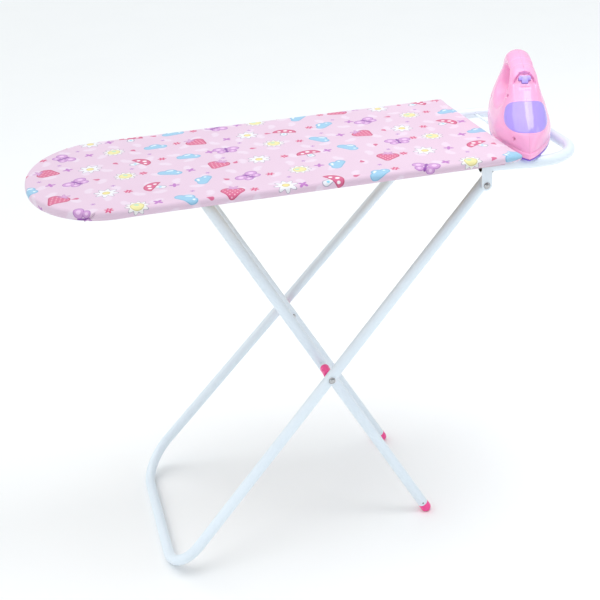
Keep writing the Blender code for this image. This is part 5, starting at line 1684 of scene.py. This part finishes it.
def rib_shape(g):
    out = []
    for sa, sw, a0 in ((1, 1, 0), (-1, 1, 90), (-1, -1, 180), (1, -1, 270)):
        for i in range(9):
            q = math.radians(a0 + 90.0 * i / 8)
            out.append((-0.35 + sa * 3.55 + (1.5 + g) * math.cos(q), sw * 2.3 + (1.5 + g) * math.sin(q)))
    return out


cut(button, btn_prism([(rib_shape(-0.75), 3.75), (rib_shape(-0.3), 3.6), (rib_shape(0), 3.1), (rib_shape(0), 0.5)]), op="UNION", solver="MANIFOLD", angle=45.0)
finish_piece(button, "steam_button", "button_lilac", "steam_button")

coil = []
for i in range(5 * 36 + 1):
    a = 2 * math.pi * i / 36
    coil.append(btn(3.2 * math.cos(a), 3.2 * math.sin(a), -5.9 - 8.0 * i / 180))
spring = add("button_spring_fine", *tube(coil, 0.00035, None, 10), "rivet")
finish_piece(spring, "iron", "rivet_steel", "button_spring")
stand, out_ = btn(0, 0, -14.3), btn(0, 0, 1.0) - btn(0, 0, 0)
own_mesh(spring)
seat_poly = []
for sa, sw, a0 in ((1, 1, 0), (-1, 1, 90), (-1, -1, 180), (1, -1, 270)):
    for i in range(9):
        t = math.radians(a0 + 90.0 * i / 8)
        seat_poly.append((sa * 3.5 + 1.5 * math.cos(t), sw * 3.5 + 1.5 * math.sin(t)))
seat = add("spring_seat_fine", *btn_prism([(seat_poly, -14.7), (seat_poly, -16.2)]), "iron")
soften(seat, 0.0002)
finish_piece(seat, "iron", "iron_pink", "spring_seat")


def front_s(h, w):
    """Depth behind the front curve at which the shell is w wide, for arrays."""
    f = curve(FRONT, h)
    lo, hi = np.zeros_like(f), 86.0 - f
    for _ in range(34):
        mid = (lo + hi) / 2
        less = body_half(f + mid, h, False) < w
        lo, hi = np.where(less, mid, lo), np.where(less, hi, mid)
    return f + (lo + hi) / 2


def front_points(h, w, lift):
    aw = np.abs(w)
    s = front_s(h, aw)
    e = 0.5
    w1, w0 = aw + e, np.maximum(aw - e, 0.05)
    dsw = (front_s(h, w1) - front_s(h, w0)) / (w1 - w0)
    dsw = np.where(w < 0, -dsw, dsw) * np.clip(aw / 0.8, 0, 1)
    dsh = (front_s(h + e, aw) - front_s(h - e, aw)) / (2 * e)
    L = np.sqrt(1 + dsw ** 2 + dsh ** 2)
    return s - lift / L, w + dsw * lift / L, h + dsh * lift / L


WIN_H, WIN_C, WIN_W = 16.6, 48.6, 27.0
NU, NR = 120, 30
tt = 2 * math.pi * np.arange(NU) / NU
c_, s_ = np.cos(tt), np.sin(tt)
n_ = np.where(s_ > 0, 2.7, 3.4)
q_ = (np.abs(c_) ** n_ + np.abs(s_) ** n_) ** (-1 / n_)
verts, faces = [], []
shells_w = []
for lift_mid, lift_edge in ((0.42, 0.0), (-0.35, -0.35)):
    cs, cw, ch = front_points(np.array([WIN_C]), np.array([0.0]), lift_mid)
    centre = len(verts)
    verts.append(iron_mm(cs[0], cw[0], ch[0]))
    rings = []
    for k in range(1, NR + 1):
        r = (k / NR) ** 0.8
        hh = WIN_C + WIN_H * q_ * s_ * r
        ww = (WIN_W - 0.26 * (hh - WIN_C)) * q_ * c_ * r
        low = np.clip(-s_ * r, 0, 1) ** 2
        hh = hh + low * (1.6 - 3.4 * (ww / WIN_W) ** 2)
        edge = min(max((k - (NR - 3)) / 3.0, 0), 1)
        lift = lift_mid + (lift_edge - lift_mid) * (1 - math.sqrt(1 - edge ** 2)) if edge < 1 else lift_edge
        a, b, c = front_points(hh, ww, lift)
        ring = []
        for i in range(NU):
            ring.append(len(verts))
            verts.append(iron_mm(a[i], b[i], c[i]))
        rings.append(ring)
    shells_w.append((centre, rings))
for centre, rings in shells_w:
    for i in range(NU):
        j = (i + 1) % NU
        faces.append((centre, rings[0][i], rings[0][j]))
        for k in range(NR - 1):
            faces.append((rings[k][i], rings[k][j], rings[k + 1][j], rings[k + 1][i]))
for i in range(NU):
    j = (i + 1) % NU
    faces.append((shells_w[0][1][-1][i], shells_w[0][1][-1][j], shells_w[1][1][-1][j], shells_w[1][1][-1][i]))
window = add("water_window_fine", verts, faces, "window", 50.0)
finish_piece(window, "iron", "window_lilac", "water_window")

# ------------------------------------------------------------------ pressed board
deck_v, deck_f, deck_rings = [], [], []
for j, t in enumerate(DECK_T_STEPS):
    z = DECK_Z1 + (DECK_Z0 - DECK_Z1) * t
    ring = []
    for i in range(NPER):
        edge = 0.0005 * (1 - min(min(t, 1 - t) / 0.09, 1)) ** 2
        x, y = inset_point(i, 0.0014 + edge + draw_in(i, (PLY_TOP - z) / (PLY_TOP - 0.5425)))
        ring.append(len(deck_v))
        deck_v.append((x, y, z))
    deck_rings.append(ring)
for a, b in zip(deck_rings[:-1], deck_rings[1:]):
    for i in range(NPER):
        k = (i + 1) % NPER
        deck_f.append((a[i], a[k], b[k], b[i]))
for ring, z in ((deck_rings[0], DECK_Z1), (deck_rings[-1], DECK_Z0)):
    def deck_point(x, y, z=z):
        deck_v.append((x, y, z))
        return len(deck_v) - 1
    fill_top(deck_v, ring[:nh], [ring[0]] + ring[:NPER - nh:-1], ring[nh:nh + KROW - 1], deck_point, deck_f)
deck = add("deck_panel_fine", deck_v, deck_f, "board", 40.0, weld=5e-5)
finish_piece(deck, "board", "pressed_board", "deck_panel")

# ------------------------------------------------------------------ floor, lights, sky


def floor():
    k = Nodes("floor_white")
    p = k.obj()
    k.set(Base_Color=k.mix(k.noise(p, 3.0, 2.0), (0.93, 0.93, 0.93, 1), (0.95, 0.95, 0.95, 1)),
          Roughness=k.ramp(k.noise(p, 8.0), 0.3, 0.7, 0.75, 0.9))
    me = bpy.data.meshes.new("floor")
    R = 14.0
    me.from_pydata([(-R, -R, -0.0002), (R, -R, -0.0002), (R, R, -0.0002), (-R, R, -0.0002)], [], [(0, 1, 2, 3)])
    me.materials.append(k.mat)
    ob = bpy.data.objects.new("floor", me)
    col.objects.link(ob)


floor()


def area_light(name, place, target, size, size_y, power, colour=(1, 1, 1)):
    d = bpy.data.lights.new(name, "AREA")
    d.shape, d.size, d.size_y, d.energy, d.color = "RECTANGLE", size, size_y, power, colour
    ob = bpy.data.objects.new(name, d)
    ob.location = place
    ob.rotation_mode = "QUATERNION"
    ob.rotation_quaternion = (Vector(target) - Vector(place)).to_track_quat("-Z", "Y")
    col.objects.link(ob)
    return ob


sun = bpy.data.lights.new("overhead", "SUN")
sun.energy, sun.angle, sun.color = 1.58, math.radians(78), (1.0, 0.985, 0.965)
sun_ob = bpy.data.objects.new("overhead", sun)
sun_ob.rotation_euler = (math.radians(-8), math.radians(-25), 0)
col.objects.link(sun_ob)
area_light("strip_overhead", (0.80, -0.22, 2.4), (0.80, -0.22, 0.5), 1.25, 1.34, 18.0)
area_light("fill_right", (2.0, -1.1, 1.2), (0.1, 0, 0.4), 1.4, 1.4, 5.5, (0.96, 0.98, 1.0))
area_light("fill_front", (-1.5, -2.4, 0.6), (0, 0, 0.35), 1.8, 1.0, 6.0, (0.90, 0.955, 1.0))
world = bpy.data.worlds.new("studio") if not scene.world else scene.world
scene.world = world
world.use_nodes = True
bg = world.node_tree.nodes.get("Background") or world.node_tree.nodes.new("ShaderNodeBackground")
bg.inputs["Color"].default_value = (0.88, 0.955, 1.0, 1.0)
bg.inputs["Strength"].default_value = 0.56
scene.view_settings.view_transform = "Standard"
